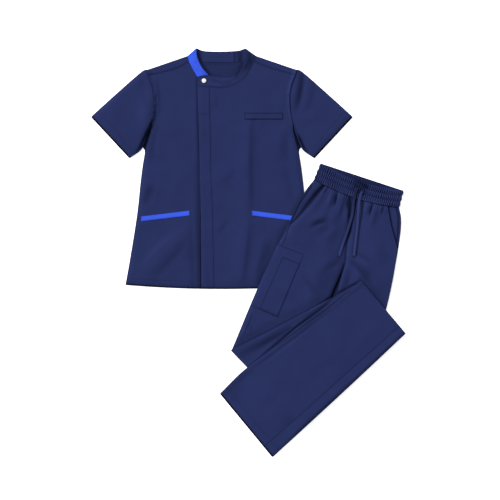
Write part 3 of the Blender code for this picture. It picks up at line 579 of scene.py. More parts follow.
def square_to(points, closed):
    """The direction square to a surface at each point of its grid."""
    wide = np.concatenate([points[:, -1:], points, points[:, :1]], axis=1) if closed else points
    down, over = np.gradient(wide, axis=0), np.gradient(wide, axis=1)
    normal = np.cross(over, down)
    normal /= np.maximum(np.linalg.norm(normal, axis=-1), 1e-12)[..., None]
    return normal[:, 1:-1] if closed else normal


def signed_volume(points, faces):
    """The volume inside quads; it is negative where they are inside out."""
    a, b, c, d = (points[faces[:, k]] for k in range(4))
    return ((a * np.cross(b, c)).sum() + (a * np.cross(c, d)).sum()) / 6


def sheet_mesh(name, middle, plan, thick=CLOTH, closed=False):
    """A closed wall of cloth about a middle surface, with round edges. closed: its columns go all round."""
    rows, columns = middle.shape[:2]
    near = np.min([edge_distance(middle, side)[0] for side in (SIDES[:2] if closed else SIDES)], axis=0)
    half = thick / 2 * np.sqrt(1 - (1 - np.clip(near / (thick / 2), 0, 1)) ** 2)
    out = square_to(middle, closed) * half[..., None]
    top = np.arange(rows * columns).reshape(rows, columns)
    rim = near <= 0
    under = np.where(rim, top, 0)
    under[~rim] = rows * columns + np.arange((~rim).sum())
    points = np.concatenate([(middle + out).reshape(-1, 3), (middle - out)[~rim]])
    uv = np.concatenate([plan.reshape(-1, 2), plan[~rim]]) * MM
    if closed:
        top, under = wrapped(top), wrapped(under)
    faces = np.concatenate([grid_quads(top), grid_quads(under)[:, ::-1]])
    if signed_volume(points, faces) < 0:
        faces = faces[:, ::-1]
    return mesh_object(name, points, faces.tolist(), uv)


def sheet_area(plan):
    """The area of a flat grid of points."""
    a, b, c, d = plan[:-1, :-1], plan[:-1, 1:], plan[1:, 1:], plan[1:, :-1]
    return float(abs(np.cross(b - a, c - a)).sum() + abs(np.cross(c - a, d - a)).sum()) / 2

# %% [markdown]
# A material is a small network of nodes. Writing it as sums and products in Python keeps it readable: a
# *Value* is the output of some node, and each operator on it adds the Math node that does the sum.


# %% Shader maths
class Value:
    """The output of a shader node, with Python's operators for Math nodes."""

    def __init__(self, finish, socket):
        self.finish, self.socket = finish, socket

    def calc(self, operation, *terms):
        """A Math node with these terms."""
        return self.finish.node("ShaderNodeMath", {"operation": operation}, dict(enumerate(terms)))

    def __add__(self, other):
        return self.calc("ADD", self, other)

    def __sub__(self, other):
        return self.calc("SUBTRACT", self, other)

    def __rsub__(self, other):
        return self.calc("SUBTRACT", other, self)

    def __mul__(self, other):
        return self.calc("MULTIPLY", self, other)

    def __abs__(self):
        return self.calc("ABSOLUTE", self)

    __radd__ = __add__

    def wave(self, length):
        """A sine of this value, which repeats at each length."""
        return self.calc("SINE", self * (2 * math.pi / length))


class Finish:
    """A material, built up round its Principled shader."""

    def __init__(self, name, **constants):
        self.material = bpy.data.materials.new(name)
        self.material.use_nodes = True
        self.tree = self.material.node_tree
        self.shader = self.tree.nodes["Principled BSDF"]
        self.feed(**constants)

    def put(self, socket, value):
        """Links a node's output to a socket, or sets the socket to a constant."""
        if isinstance(value, Value):
            self.tree.links.new(value.socket, socket)
        else:
            socket.default_value = value

    def node(self, kind, settings=None, inputs=None, output=0):
        """Any node: its type, its settings, and the values or links of its sockets."""
        node = self.tree.nodes.new(kind)
        for key, value in (settings or {}).items():
            setattr(node, key, value)
        for key, value in (inputs or {}).items():
            self.put(node.inputs[key], value)
        return Value(self, node.outputs[output])

    def feed(self, **values):
        """Puts values into the shader's sockets; their names have _ for each space."""
        for words, value in values.items():
            self.put(self.shader.inputs[words.replace("_", " ")], value)

    def mix(self, factor, first, second):
        """A colour between two, by a factor from 0 to 1."""
        node = self.node("ShaderNodeMix", {"data_type": "RGBA", "clamp_factor": True}, {0: factor}, output=2)
        for index, colour in ((6, first), (7, second)):
            self.put(node.socket.node.inputs[index], colour if isinstance(colour, Value) else (*colour, 1.0))
        return node

    def noise(self, coordinates, size, detail=2.0):
        """Soft noise whose blobs are about this size, in metres."""
        return self.node("ShaderNodeTexNoise", None,
                         {"Vector": coordinates, "Scale": 1 / size, "Detail": detail})

    def bump(self, height):
        """Small relief, in millimetres."""
        return self.node("ShaderNodeBump", None, {"Height": height, "Strength": 1.0, "Distance": MM})

    def object_place(self):
        """A point's place in the object."""
        return self.node("ShaderNodeTexCoord", output=3)

    def cut_place(self):
        """A point's place on the cut, and how far across and how far along that is."""
        cut = self.node("ShaderNodeUVMap", {"uv_map": "cut"})
        across = self.node("ShaderNodeSeparateXYZ", None, {"Vector": cut})
        return cut, across, Value(self, across.socket.node.outputs[1])

    def pressed(self):
        """How much shade is painted on a point, from 0 to 1."""
        return self.node("ShaderNodeAttribute", {"attribute_name": "pressed"}, output=2)


# %% [markdown]
# The cloth is a fine twill, a weave whose threads step sideways at each row, so that slanting ribs run
# across it. Seen from a step away it reads as an even, slightly soft navy. So its colour hardly varies:
# ribs lighter than the valleys between and a faint cloudiness. Shade is painted into it too: darker
# colour in each seam, in steep creases, along edges and wherever one part shades another. A little
# sheen stands for the fuzz.

# %% Cloth finishes
RIB = 0.9 * MM  # from one slanting rib to the next
CLOUDS, SLUB, FUZZ = 55 * MM, 14 * MM, 4.5 * MM  # the size of soft spots of colour, of thick threads, of fuzz
NAVY, NAVY_LIGHT = (0.0124, 0.0183, 0.0668), (0.0176, 0.0250, 0.0870)
# the colour that painted shade takes the navy towards
NAVY_SHADE = (0.0003, 0.0009, 0.0036)
ACCENT, ACCENT_LIGHT = (0.030, 0.072, 0.525), (0.037, 0.090, 0.635)
# the colour that painted shade takes the blue towards
ACCENT_SHADE = (0.008, 0.026, 0.230)
SHADED_TONE = 0.86  # how dark the shaded copy of the cloth is, for parts that show only in shade: painted shade


def twill(name, dark, light, shade, painted_shade_strength=0.95):
    """Twill cloth: ribs, soft clouds of colour, and painted shade where the point's painted-shade attribute
    nears 1.
    """
    finish = Finish(name, Specular_IOR_Level=0.02, Sheen_Weight=0.012, Sheen_Roughness=0.45)
    cut, across, drop = finish.cut_place()
    ribs = (across + drop).wave(RIB)
    threads = (across - drop * 0.35).wave(RIB * 0.6)
    weave = ribs * 0.65 + threads * 0.35
    clouds = finish.noise(cut, CLOUDS, 3.0) - 0.5
    fuzz = finish.noise(cut, FUZZ) - 0.5
    slub = finish.noise(cut, SLUB) - 0.5
    colour = finish.mix(weave * 0.10 + clouds * 0.55 + fuzz * 0.35 + 0.5, dark, light)
    finish.feed(Base_Color=finish.mix(finish.pressed() * painted_shade_strength, colour, shade))
    finish.feed(Roughness=0.74 + fuzz * 0.12 - ribs * 0.03)
    finish.feed(Normal=finish.bump(weave * 0.035 + fuzz * 0.10 + slub * 0.22))
    return finish.material


def toned(colour, tone):
    """A lighter or darker colour."""
    return [tone * part for part in colour]


navy_twill = twill("navy_twill", NAVY, NAVY_LIGHT, NAVY_SHADE)
# a darker copy of the cloth, which is painted shade, for backs, insides and hidden layers that lie in shade
navy_in_shade = twill("navy_twill_in_shade", toned(NAVY, SHADED_TONE), toned(NAVY_LIGHT, SHADED_TONE), NAVY_SHADE)
accent_twill = twill("accent_twill", ACCENT, ACCENT_LIGHT, ACCENT_SHADE, painted_shade_strength=0.55)
print("cloth finishes:", navy_twill.name, navy_in_shade.name, accent_twill.name)

# %% [markdown]
# The drawstring is a flat braid: its threads cross in a fine herringbone, slightly lighter than the cloth.
# Sewing thread is a plain colour with a little gloss, and is dyed to match the cloth that it sews.

# %% Cord and thread finishes
CORD_DARK, CORD_LIGHT = (0.0155, 0.0236, 0.087), (0.0250, 0.0375, 0.138)
BRAID, BRAID_FUZZ = 1.6 * MM, 3 * MM
EDGE_FROM, CORD_EDGE_SHADE = 0.30, 0.85  # where across the cord the shade painted at its rounded edge starts, and how dark it is
THREAD, ACCENT_THREAD = (0.0050, 0.0080, 0.0370), (0.016, 0.045, 0.38)
THREAD_TONES, THREAD_SPOTS = (0.75, 1.3), 2 * MM


def braid(name):
    """Braided cord, with shade painted at its rounded edges and where its painted-shade attribute nears 1."""
    finish = Finish(name, Specular_IOR_Level=0.06, Sheen_Weight=0.03, Sheen_Roughness=0.4)
    cut, across, along = finish.cut_place()
    strands = (abs(across) + along).wave(BRAID) * 0.6 + across.wave(BRAID * 0.75) * 0.4
    fuzz = finish.noise(cut, BRAID_FUZZ) - 0.5
    colour = finish.mix(strands * 0.35 + fuzz * 0.5 + 0.5, CORD_DARK, CORD_LIGHT)
    colour = finish.mix(finish.pressed(), colour, NAVY_SHADE)
    edge = finish.node("ShaderNodeMapRange", {"interpolation_type": "SMOOTHSTEP"},
                       {"Value": abs(across), 1: EDGE_FROM * STRING_WIDTH, 2: STRING_WIDTH / 2})
    finish.feed(Base_Color=finish.mix(edge * CORD_EDGE_SHADE, colour, NAVY_SHADE))
    finish.feed(Roughness=0.7 - strands * 0.08, Normal=finish.bump(strands * 0.12 + fuzz * 0.08))
    return finish.material


def thread(name, colour):
    """Sewing thread, a little uneven in tone and gloss."""
    finish = Finish(name, Specular_IOR_Level=0.12)
    spots = finish.noise(finish.object_place(), THREAD_SPOTS)
    finish.feed(Base_Color=finish.mix(spots, *(toned(colour, tone) for tone in THREAD_TONES)))
    finish.feed(Roughness=0.5 + spots * 0.15)
    return finish.material


cord_braid = braid("cord_braid")
navy_thread = thread("navy_thread", THREAD)
accent_thread = thread("accent_thread", ACCENT_THREAD)
for string in strings:
    string.data.materials.append(cord_braid)
print("strings finished:", [string.name for string in strings])

# %% [markdown]
# Now the order of work. *Piece* gives a panel its grid and the height felt on its solid. *lay* takes the
# pieces that lie side by side, adds creases, ripples and seams, clears them of what lies under them, and
# makes the sheets. What each was cut to, before it was sewn, is measured on the flat cut itself.

# %% Painted shade in seams and along edges
SHADE_REACH = 1.1 * MM  # how far the shade painted along a seam or an edge reaches
EDGE_SHADE, SEWN_SHADE, HEM_SHADE = 0.45, 0.35, 0.06  # how dark the painted shade is: at an edge, along a line of stitching, along a hem's


def painted_seam_and_edge_shade(middle, sewn, edges, closed):
    """The shade painted along the cloth's edges and in its seams, from 0 to 1."""
    shade = np.zeros(middle.shape[:2])
    for side in SIDES[:2] if closed else SIDES:
        away = edge_distance(middle, side)[0]
        shade = np.maximum(shade, edges.get(side, EDGE_SHADE) * np.exp(-away / SHADE_REACH))
    for side, inset in sewn:
        off = edge_distance(middle, side)[0] - inset * MM
        shade = np.maximum(shade, (HEM_SHADE if inset > WIDE_HEM else SEWN_SHADE) * bell(off, SHADE_REACH))
    return shade


def shaded(plan, lines):
    """Painted shade along lines. Each is a list of points with four columns: across, drop, half width, how
    dark.
    """
    shade = np.zeros(plan.shape[:2])
    for line in lines:
        for (x0, y0, width0, dark0), (x1, y1, width1, dark1) in zip(line, line[1:]):
            start, run = np.array([x0, y0]), np.array([x1 - x0, y1 - y0])
            share = np.clip((plan - start) @ run / (run @ run), 0, 1)
            away = np.linalg.norm(plan - start - share[..., None] * run, axis=-1)
            width, dark = width0 + (width1 - width0) * share, dark0 + (dark1 - dark0) * share
            shade = np.maximum(shade, dark * bell(away, width))
    return shade


def shade_along(table, width, dark, shift=0.0):
    """A line of even painted shade through the points of a table, moved sideways by shift."""
    return [(x + shift, y, width, dark) for x, y in table]


# %% Laying a piece
BROAD_RIPPLE, FINE_RIPPLE = 130, 45  # wavelengths in millimetres
FINE_HEIGHT = 0.35  # how high the fine ripples are beside the broad ones
stitch_rows = {"navy": [], "accent": []}


class Piece:
    """A panel on its garment, with the height felt on its solid, and the shade painted along its lines and
    creases.
    """

    def __init__(self, node, panel, place, sewn=(), creases=(), step=STEP, finish=navy_twill, seed=0,
                 ripple=0.35, over_step=None, drooping=(), edges=None, fine=(), lines=(), sunk=0.0):
        self.node, self.panel, self.sewn, self.finish, self.edges = node, panel, sewn, finish, edges
        self.down, self.over = panel.lines(step, [*sewn, *fine], over_step)
        self.plan = panel.plan(self.down, self.over)
        self.xy = place(self.plan)
        lift, shade = crease_height(self.plan, creases)
        self.shade = np.maximum(shade, shaded(self.plan, lines))
        self.z = felt_height(panel, place, node, self.down, self.over) - CLOTH / 2 - sunk * MM
        self.z += lift + seam_relief(self.xy, sewn, seed)
        self.z += ripples(self.plan, BROAD_RIPPLE, ripple, seed + 1)
        self.z += ripples(self.plan, FINE_RIPPLE, FINE_HEIGHT * ripple, seed + 2)
        if drooping:
            self.z += droop(self.xy, drooping)


def dress(obj, node, finish, flat, area):
    """Gives a sheet its finish, hangs it on the root, hides the solid that it stands for, and prints its
    size.
    """
    obj.data.materials.append(finish)
    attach(obj, "root")
    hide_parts(node)
    print(f"{obj.name}: {len(obj.data.polygons)} faces, cut {flat[0]:.3f} x {flat[1]:.3f} m, {area:.4f} m2")


def make_sheet(node, middle, plan, sewn, flat, area, finish=navy_twill,
               closed=False, thick=CLOTH, shade=0.0, edges=None):
    """One finished piece of cloth, from its middle surface, with its painted shade."""
    obj = sheet_mesh(node + "_cloth", middle, plan, thick, closed)
    shade = np.maximum(painted_seam_and_edge_shade(middle, sewn, edges or {}, closed), shade)
    rim = np.zeros(shade.shape, bool)
    rim[[0, -1]] = True
    if not closed:
        rim[:, [0, -1]] = True
    # each point carries its painted shade as an attribute, which the finish mixes into the colour
    add_attribute(obj, "pressed", np.concatenate([shade.ravel(), shade[~rim]]))
    dress(obj, node, finish, flat, area)


def sewn_path(middle, side, inset, thick=CLOTH):
    """The line on top of a sheet along which it is sewn."""
    grid, away = (np.rot90(part, QUARTER_TURNS[side]) for part in (middle, edge_distance(middle, side)[0]))
    row = int(np.argmin(np.abs(away.mean(axis=1) - inset * MM)))
    return grid[row] + (0, 0, thick / 2)


def lay(*pieces, rests_on=(), held="laid", thick=CLOTH):
    """Lays pieces that meet side by side on the pile."""
    lows = [cleared(piece.xy, np.maximum(piece.z - thick / 2, 0.0)) for piece in pieces]
    for piece, low in zip(pieces, lows):
        middle = raised(piece.xy, low + thick / 2)
        add_to_pile(piece.xy, low + thick)
        flat = (piece.panel.width * MM, piece.panel.length * MM)
        area = min(sheet_area(piece.plan * MM), flat[0] * flat[1])
        make_sheet(piece.node, middle, piece.plan, piece.sewn, flat, area, piece.finish,
                   thick=thick, shade=piece.shade, edges=piece.edges)
        rows = stitch_rows["accent" if piece.finish is accent_twill else "navy"]
        rows += [sewn_path(middle, side, inset, thick) for side, inset in piece.sewn]

# %% [markdown]
# ## The tunic
# Its cut is half an outline, mirrored. The tables give points on each edge; every other number follows from
# them.

# %% Cut of the tunic
NECK_POINT, RIGHT_NECK_POINT, YOKE_NECK = (99.5, 23.5), (-99.5, 23.5), (92.8, 40.6)
SHOULDER_END, YOKE_END = (217.5, 64.0), (213.0, 79.0)
UNDERARM, HEM_CORNER = (205.0, 216.0), (279.3, 685.0)
HEM_MIDDLE_DROP = 696.5
ARMHOLE = [YOKE_END, (202.5, 106), (196.6, 136), (196.8, 164), (200.7, 195), UNDERARM]
SIDE_SEAM = [UNDERARM, (207.4, 244), (217, 282), (227, 325), (235, 383), (246, 484), (266.5, 613), HEM_CORNER]
SLEEVE_TOP = [SHOULDER_END, (230, 68.5), (262, 95.5), (312, 140.0), (376, 198)]
SLEEVE_UNDER = [UNDERARM, (211, 236), (227, 279), (237, 297), (265.4, 317)]
YOKE_SEAM = [YOKE_NECK, (130, 55), (178, 70), YOKE_END]
RIGHT_YOKE_NECK = (-95.4, 41.4)
RIGHT_YOKE_SEAM = [RIGHT_YOKE_NECK, (-130, 58.5), (-178, 73.0), (-213, 79)]
BACK_NECK = [RIGHT_NECK_POINT, (-84, 35), (-50, 41.8), (0, 42.5), (50, 41.8), (84, 35), NECK_POINT]
BACK_COLLAR_TOP = [(-72.5, 1.2), (-50, 9), (0, 10.4), (46, 8), (67.0, 1.7)]
LEFT_NECK = [(-36.3, 113.2), (0, 115.4), (33.6, 107.6), (62.6, 88.7), (82.7, 62), YOKE_NECK]
LEFT_COLLAR_TOP = [(-69.5, 84.0), (-56, 80.6), (-38, 79.3), (-15, 81.3), (10, 84.0), (31.6, 79), (49.3, 60),
                   (65.8, 35.7), (68.2, 1.2)]
RIGHT_NECK = [(-5, 112), (-46, 104), (-70.2, 85), (-85.0, 62), RIGHT_YOKE_NECK]
RIGHT_COLLAR_TOP = [(-5, 84), (-34, 82.6), (-40.2, 77.5), (-54.9, 60.9), (-66.4, 40.6), (-72.8, 20.3),
                    (-73.4, 0)]
BAND_EDGE = [(-70.9, 110.8), (-66.4, 241), (-62.9, 378), (-60.7, 484), (-59.2, 696.9)]
BAND_SEAM = [(-36.3, 113.2), (-33.5, 241), (-31.3, 378), (-26.4, 484), (-22.9, 697.4)]
UNDERLAP_EDGE = [(-5, 112), (0, 378), (3, 697.5)]


def hem_line(from_across, to_across):
    """The tunic's hem, a shallow arc."""
    across = np.linspace(from_across, to_across, 9)
    drop = HEM_MIDDLE_DROP - (HEM_MIDDLE_DROP - HEM_CORNER[1]) * (across / HEM_CORNER[0]) ** 2
    return [tuple(point) for point in np.stack([across, drop], axis=-1)]


def mirrored_line(line):
    """A line of shade for the other side."""
    return [(-across, *rest) for across, *rest in line]


def side_of(sign):
    """Armhole and side seam of the wearer's left (1) or right (-1) side."""
    tables = (ARMHOLE, SIDE_SEAM)
    return Edge(*(tables if sign > 0 else [mirrored(table) for table in tables]))


print("tunic length", HEM_MIDDLE_DROP, "mm, width at the underarms", 2 * UNDERARM[0], "mm")

# %% Creases of the tunic
# columns: across and drop where it starts, the same where it ends, bow, height, half width, lean
FRONT_CREASES = [
    (79, 195, 80, 486, 3, 2.9, 19, 0.5),
    (72, 498, 50, 694, -4, 2.9, 20, 0.45),
    (118, 540, 96, 676, 0, 1.8, 15, 0.3),
    (47, 352, -2, 400, 0, -1.1, 15, 0.0),
    (20, 500, -12, 545, 0, -1.3, 12, 0.0),
    (-4, 136, -28, 182, 0, -0.9, 13, 0.0),
    (196, 236, 186, 330, 6, -1.8, 16, 0.0),
    (150, 130, 182, 178, 0, 1.2, 16, 0.0),
    (30, 230, 44, 330, 6, 1.0, 22, 0.0),
    (178, 330, 214, 470, 0, -1.1, 17, 0.0),
    (148, 552, 118, 652, 0, -2.4, 14, 0.0),
]
SIDE_CREASES = [
    (-128, 540, -226, 640, 8, 1.8, 19, -0.35),
    (-104, 560, -196, 662, -6, -1.1, 14, 0.0),
    (-197, 388, -224, 458, 0, -2.8, 15, 0.0),
    (-182, 214, -203, 330, 8, -2.6, 16, 0.0),
    (-150, 180, -120, 330, 10, 1.2, 24, 0.0),
    (-110, 350, -150, 460, 0, 1.0, 22, 0.0),
    # the swell of the front beside the armhole
    (-199, 78, -188, 200, -6, 2.0, 6, 0.0),
    # down along the overlap's edge, where this front dips under it
    (-73.5, 60, -61.5, 480, 0, -1.6, 5, 0.0),
    (-69, 300, -55.5, 1000, 0, -2.4, 7, 0.0),
    (-88, 480, -70, 900, 0, -1.6, 12, 0.0),
]
# lines of painted shade: across, drop, half width and how dark, at each of their points
# painted shade along the hem, where the back's hem shows in shade
HEM_EDGE_SHADE = shade_along(hem_line(-HEM_CORNER[0], HEM_CORNER[0]), 2.8, 0.7)
# painted shade in the gap under the arm
SIDE_SHADE = [(204, 204, 3.5, 0.9), (208, 244, 3.5, 1.0), (218, 280, 3.5, 0.6), (222, 300, 3, 0.0)]
LEFT_SIDE_SHADE = [(205, 222, 2.0, 0.2), (208, 244, 2.5, 0.4), (214, 262, 3.0, 1.0), (219, 284, 3.0, 0.6),
                   (223, 302, 3, 0.0)]
# painted shadow beside the overlap band's free edge
BESIDE_BAND_SHADE = [
    [(-72.4, 84, 1.6, 0.50), (-71.8, 108, 1.8, 0.65), (-67.4, 241, 2.0, 0.80), (-63.9, 378, 2.2, 0.50),
     (-61.7, 484, 2.2, 0.85)],
    [(-61.7, 484, 2.2, 0.95), (-60.2, 700, 3.2, 1.0)],
    [(-78, 330, 8, 0.05), (-72, 500, 10, 0.14), (-68, 690, 10, 0.32)],
]
SLEEVE_CREASES = [
    (234, 50, 213, 186, -6, -4.2, 11, 0.0),
    (260, 84, 240, 176, -5, 1.6, 12, 0.2),
    (215, 205, 282, 190, 6, 1.3, 13, 0.0),
]
RIGHT_SLEEVE_CREASES = [
    (-234, 50, -213, 186, 6, -0.8, 11, 0.0),
    (-204, 118, -223, 262, 0, 5.2, 24, 0.0),
    (-300, 150, -330, 230, 0, 0.8, 20, 0.0),
]

# %% [markdown]
# The back lies face down on the table, with the back of the stand collar beyond it. Only its inside shows,
# in the neck, and a thin line of it past the front's hem and under the arms; there it is cut from the shaded
# copy of the cloth and has shade painted on it. Its creases are as real as the
# others: they stand up from the table a little, so that its underside still rests.

# %% Back and back collar
BACK_HEM_SHOWS = 2.4  # how far the back's hem shows past the front's
HEM_DEPTH, COLLAR_SEAM = 18.0, 2.0  # how far in from their edges these are sewn
BACK_CREASES = [(-120, 260, -60, 420, 20, 0.8, 24, 0.0), (90, 300, 150, 520, -20, 0.9, 26, 0.0),
                (-20, 470, -70, 640, 10, 0.8, 24, 0.0)]
# the edge beside the sleeve
ARM_CORNER = [UNDERARM, (209.5, 231), (214.6, 245.5), (220.2, 259.9), (226.2, 274.2), (231.6, 285.5)]
CORNER_SIDE = [ARM_CORNER[-1], (224.0, 297), *SIDE_SEAM[3:]]

shoulder = [NECK_POINT, SHOULDER_END]
back_side = [(SHOULDER_END, YOKE_END), ARMHOLE, ARM_CORNER, CORNER_SIDE]
back_panel = Panel(
    Edge(mirrored(shoulder)[::-1], BACK_NECK, shoulder),
    Edge([(x, y + BACK_HEM_SHOWS) for x, y in hem_line(-HEM_CORNER[0], HEM_CORNER[0])]),
    Edge(*(mirrored(table) for table in back_side)),
    Edge(*back_side),
)
back_collar_panel = Panel(Edge(BACK_COLLAR_TOP), Edge(BACK_NECK))
# painted shade: under the arms, on the strip of hem that shows, in the neck and beside the blue collar
CORNER_SHADE = [(204, 206, 16, 1.0), (222, 262, 18, 1.0), (229, 288, 12, 1.0)]
HEM_SHOWS_SHADE = shade_along([(-279, 687), (-150, 697), (0, 701), (150, 697), (279, 687)], 5, 1.0)
BESIDE_BLUE_SHADE = [
    [(-70, 6, 7.5, 0.75), (-68.5, 20, 8, 0.88), (-61.5, 41, 6, 0.85)],
    [(-61.5, 41, 5, 0.85), (-50, 60, 4.5, 0.75), (-33, 80, 4.5, 0.80)],
]
NECK_SHADE = [
    [(-60, 46, 5, 0.22), (40, 47, 5, 0.12)],
    [(-34, 79, 7, 0.25), (-8, 82, 6, 0.12)],
    [(44, 70, 8, 0.30), (60, 46, 10, 0.60)],
    [(20, 78, 9, 0.10), (44, 60, 9, 0.18)],
]
BACK_COLLAR_SHADE = [[(38, 10, 1.8, 0.8), (36, 44, 1.8, 0.8)], [(53, 6, 9, 0.50), (53, 46, 10, 0.65)]]
lay(
    Piece("tunic_back", back_panel, on_tunic, [("end", HEM_DEPTH)], BACK_CREASES, 5.0, navy_in_shade,
          lines=[CORNER_SHADE, mirrored_line(CORNER_SHADE), HEM_SHOWS_SHADE, *NECK_SHADE, *BESIDE_BLUE_SHADE]),
    Piece("collar_back", back_collar_panel, on_tunic, [("start", COLLAR_SEAM)], step=2.0, seed=4, ripple=0.15,
          edges={"end": 0.8, "start": 0.3}, lines=[*BACK_COLLAR_SHADE, *BESIDE_BLUE_SHADE]),
)

# %% [markdown]
# A sleeve is one flattened tube: its upper layer, round the fold along the top of the arm, the layer under
# it, and round the seam below. Following that loop at each row of the grid gives a closed wall with a real
# mouth. The under layer reaches a little further at the hem and is painted in shade there, so that it shows
# as a dark line.

# %% Turned edges
FOLD_OUT = 0.6 * MM  # how far a folded edge stands out past its layers
FOLD_ANGLES = np.radians([62, 22, -22, -62])
HOLLOW = CLOTH + 0.2 * MM  # the least from the middle of a tube's lower layer to that of its upper one


def columns_of(grid):
    """A grid's columns, as a list."""
    return [*grid.transpose(1, 0, 2)]


def fold_points(edge, neighbour, high, low):
    """The turn of a sheet from an upper layer's edge to the lower one's: a column of points at each angle."""
    out = unit(edge - neighbour)
    middle, rise = (high + low) / 2, (high - low) / 2
    return [raised(edge + FOLD_OUT * math.cos(a) * out, middle + rise * math.sin(a)) for a in FOLD_ANGLES]


# %% Sleeves
UNDER_SHOWS, UNDER_SHADE = 4.4 * MM, 1.0  # how far an under layer shows at its hem, and how dark the shade painted on it is
SLEEVE_UNDER_FROM = 0.85  # from here down, the under layer reaches out past the upper one
SLEEVE_HEM = 20.0
# painted shade along the armhole seam
ARMHOLE_SHADE, ARMHOLE_REACH = 0.9, 1.6 * MM
SLEEVE_CREASES_OF = {-1: RIGHT_SLEEVE_CREASES, 1: SLEEVE_CREASES}
SLEEVE_CORNER_WIDE = {-1: 6.2, 1: 5.0}  # how far the painted shade under the arm reaches onto either sleeve
SLEEVE_CORNER_TOP = {-1: 1.0, 1: 0.5}  # and how much of it there is at its upper end


def sleeve_shade(plan, xy, sign):
    """Painted shade on the upper layer, under the arm and along the armhole."""
    wide, upper = SLEEVE_CORNER_WIDE[sign], SLEEVE_CORNER_TOP[sign]
    corner = shaded(plan * (sign, 1), [[
        (207, 218, 0.5 * wide, 0.6 * upper), (216, 243, wide * upper, upper), (226, 264, wide, 1.0),
        (236, 286, 0.8 * wide, 1.0), (247, 301, 0.6 * wide, 0.5)]])
    return corner, ARMHOLE_SHADE * np.exp(-edge_distance(xy, "start")[0] / ARMHOLE_REACH)


def sleeve(node, sign):
    """A flattened sleeve with its mouth a little open."""
    tables = [(SHOULDER_END, YOKE_END), ARMHOLE, SLEEVE_TOP, SLEEVE_UNDER]
    shoulder_end, armhole, top_fold, under_seam = tables if sign > 0 else map(mirrored, tables)
    panel = Panel(Edge(shoulder_end, armhole), Edge([top_fold[-1], under_seam[-1]]),
                  Edge(top_fold), Edge(under_seam))
    hem = [("end", SLEEVE_HEM)]
    down, over = panel.lines(STEP, hem)
    plan = panel.plan(down, over)
    xy = on_tunic(plan)
    lift, shade = crease_height(plan, SLEEVE_CREASES_OF[sign])
    high = felt_height(panel, on_tunic, node, down, over) - CLOTH / 2 + lift
    high += seam_relief(xy, hem, sign) + ripples(plan, 90, 0.25, 7 + sign)
    high += droop(xy, ("end", "left", "right"))
    low = np.full(high.shape, CLOTH / 2 + 0.05 * MM)
    high = np.maximum(high, low + HOLLOW)

    reach = np.clip((down - SLEEVE_UNDER_FROM) / (1 - SLEEVE_UNDER_FROM), 0, 1)[:, None, None] ** 2
    under_xy = xy + reach * UNDER_SHOWS * unit(xy[-1] - xy[-2])
    far = fold_points(xy[:, -1], xy[:, -3], high[:, -1], low[:, -1])
    near = fold_points(xy[:, 0], xy[:, 2], high[:, 0], low[:, 0])[::-1]
    top, bottom = columns_of(raised(xy, high)), columns_of(raised(under_xy, low))[::-1]
    loop = np.stack(top + far + bottom + near, axis=1)
    cut = columns_of(plan)
    loop_plan = np.stack(cut + [cut[-1]] * len(far) + cut[::-1] + [cut[0]] * len(near), axis=1)

    corner, armhole_line = sleeve_shade(plan, xy, sign)
    # painted shade on the upper layer, on the fold under the arm, and over the under layer where it shows
    loop_shade = np.zeros(loop.shape[:2])
    count, turned = len(over), len(over) + len(far)
    loop_shade[:, :count] = np.max([shade, armhole_line, corner], axis=0)
    loop_shade[:, count:turned] = corner[:, -1:]
    loop_shade[:, turned : turned + count] = UNDER_SHADE
    add_to_pile(xy, high + CLOTH / 2)
    stitch_rows["navy"].append(sewn_path(raised(xy, high), *hem[0])[::-1])
    flat = (2 * panel.width * MM, panel.length * MM)
    make_sheet(node, loop, loop_plan, hem, flat, 2 * sheet_area(plan * MM), closed=True, shade=loop_shade)


for node, sign in (("sleeve_left", 1), ("sleeve_right", -1)):
    sleeve(node, sign)

# %% [markdown]
# The wearer's right front goes on first. Its front edge runs on under the overlap, pressed flat. The blue
# piece of the stand collar and the shoulder piece that comes forward from the back meet it at its seams.

# %% Right front, shoulder piece and blue collar
YOKE_SEWN = 1.8  # how far in from their edge the shoulder pieces are sewn
UNDERLAP_LINES = (60.0, 62.0, 64.0, 66.0)  # more grid lines where the shadow of the overlap's edge is painted

right_front_panel = Panel(
    Edge(RIGHT_NECK, RIGHT_YOKE_SEAM), Edge(hem_line(UNDERLAP_EDGE[-1][0], -HEM_CORNER[0])),
    Edge(UNDERLAP_EDGE), side_of(-1),
)
left_yoke_panel = Panel(Edge(shoulder), Edge(YOKE_SEAM))
right_yoke_panel = Panel(Edge(mirrored(shoulder)), Edge(RIGHT_YOKE_SEAM))
right_collar_panel = Panel(Edge(RIGHT_COLLAR_TOP), Edge(RIGHT_NECK, [RIGHT_YOKE_NECK, RIGHT_NECK_POINT]))
BLUE_COLLAR_CREASES = [(-78, 38, -60, 60, 0, -0.8, 6, 0.0), (-92, 28, -74, 44, 0, 0.7, 8, 0.0),
                       (-66, 72, -48, 84, 0, 0.7, 6, 0.0)]
# painted shade on the blue collar, darkest at its lower end
BLUE_COLLAR_SHADE = [
    [(-84, 56, 8, 0.12), (-58, 68, 8, 0.25)],
    [(-58, 68, 8, 0.30), (-38, 84, 8, 1.0)],
    [(-76, 2, 3, 0.3), (-68, 30, 2, 0.2)],
]
lay(
    Piece("tunic_front_right", right_front_panel, on_tunic, [("end", HEM_DEPTH)], SIDE_CREASES, 3.0, seed=10,
          drooping=("end", "right"), fine=[("left", inset) for inset in UNDERLAP_LINES],
          edges={"end": 0.8, "right": 0.2}, lines=[*BESIDE_BAND_SHADE, mirrored_line(SIDE_SHADE), HEM_EDGE_SHADE]),
    Piece("yoke_right", right_yoke_panel, on_tunic, [("end", YOKE_SEWN)], seed=11, step=3.0, ripple=0.15,
          edges={"end": 0.75}),
    Piece("collar_right", right_collar_panel, on_tunic, [("start", COLLAR_SEAM)], BLUE_COLLAR_CREASES, 2.0,
          accent_twill, 12, 0.2, lines=BLUE_COLLAR_SHADE),
    rests_on=["tunic_back_cloth"],
)
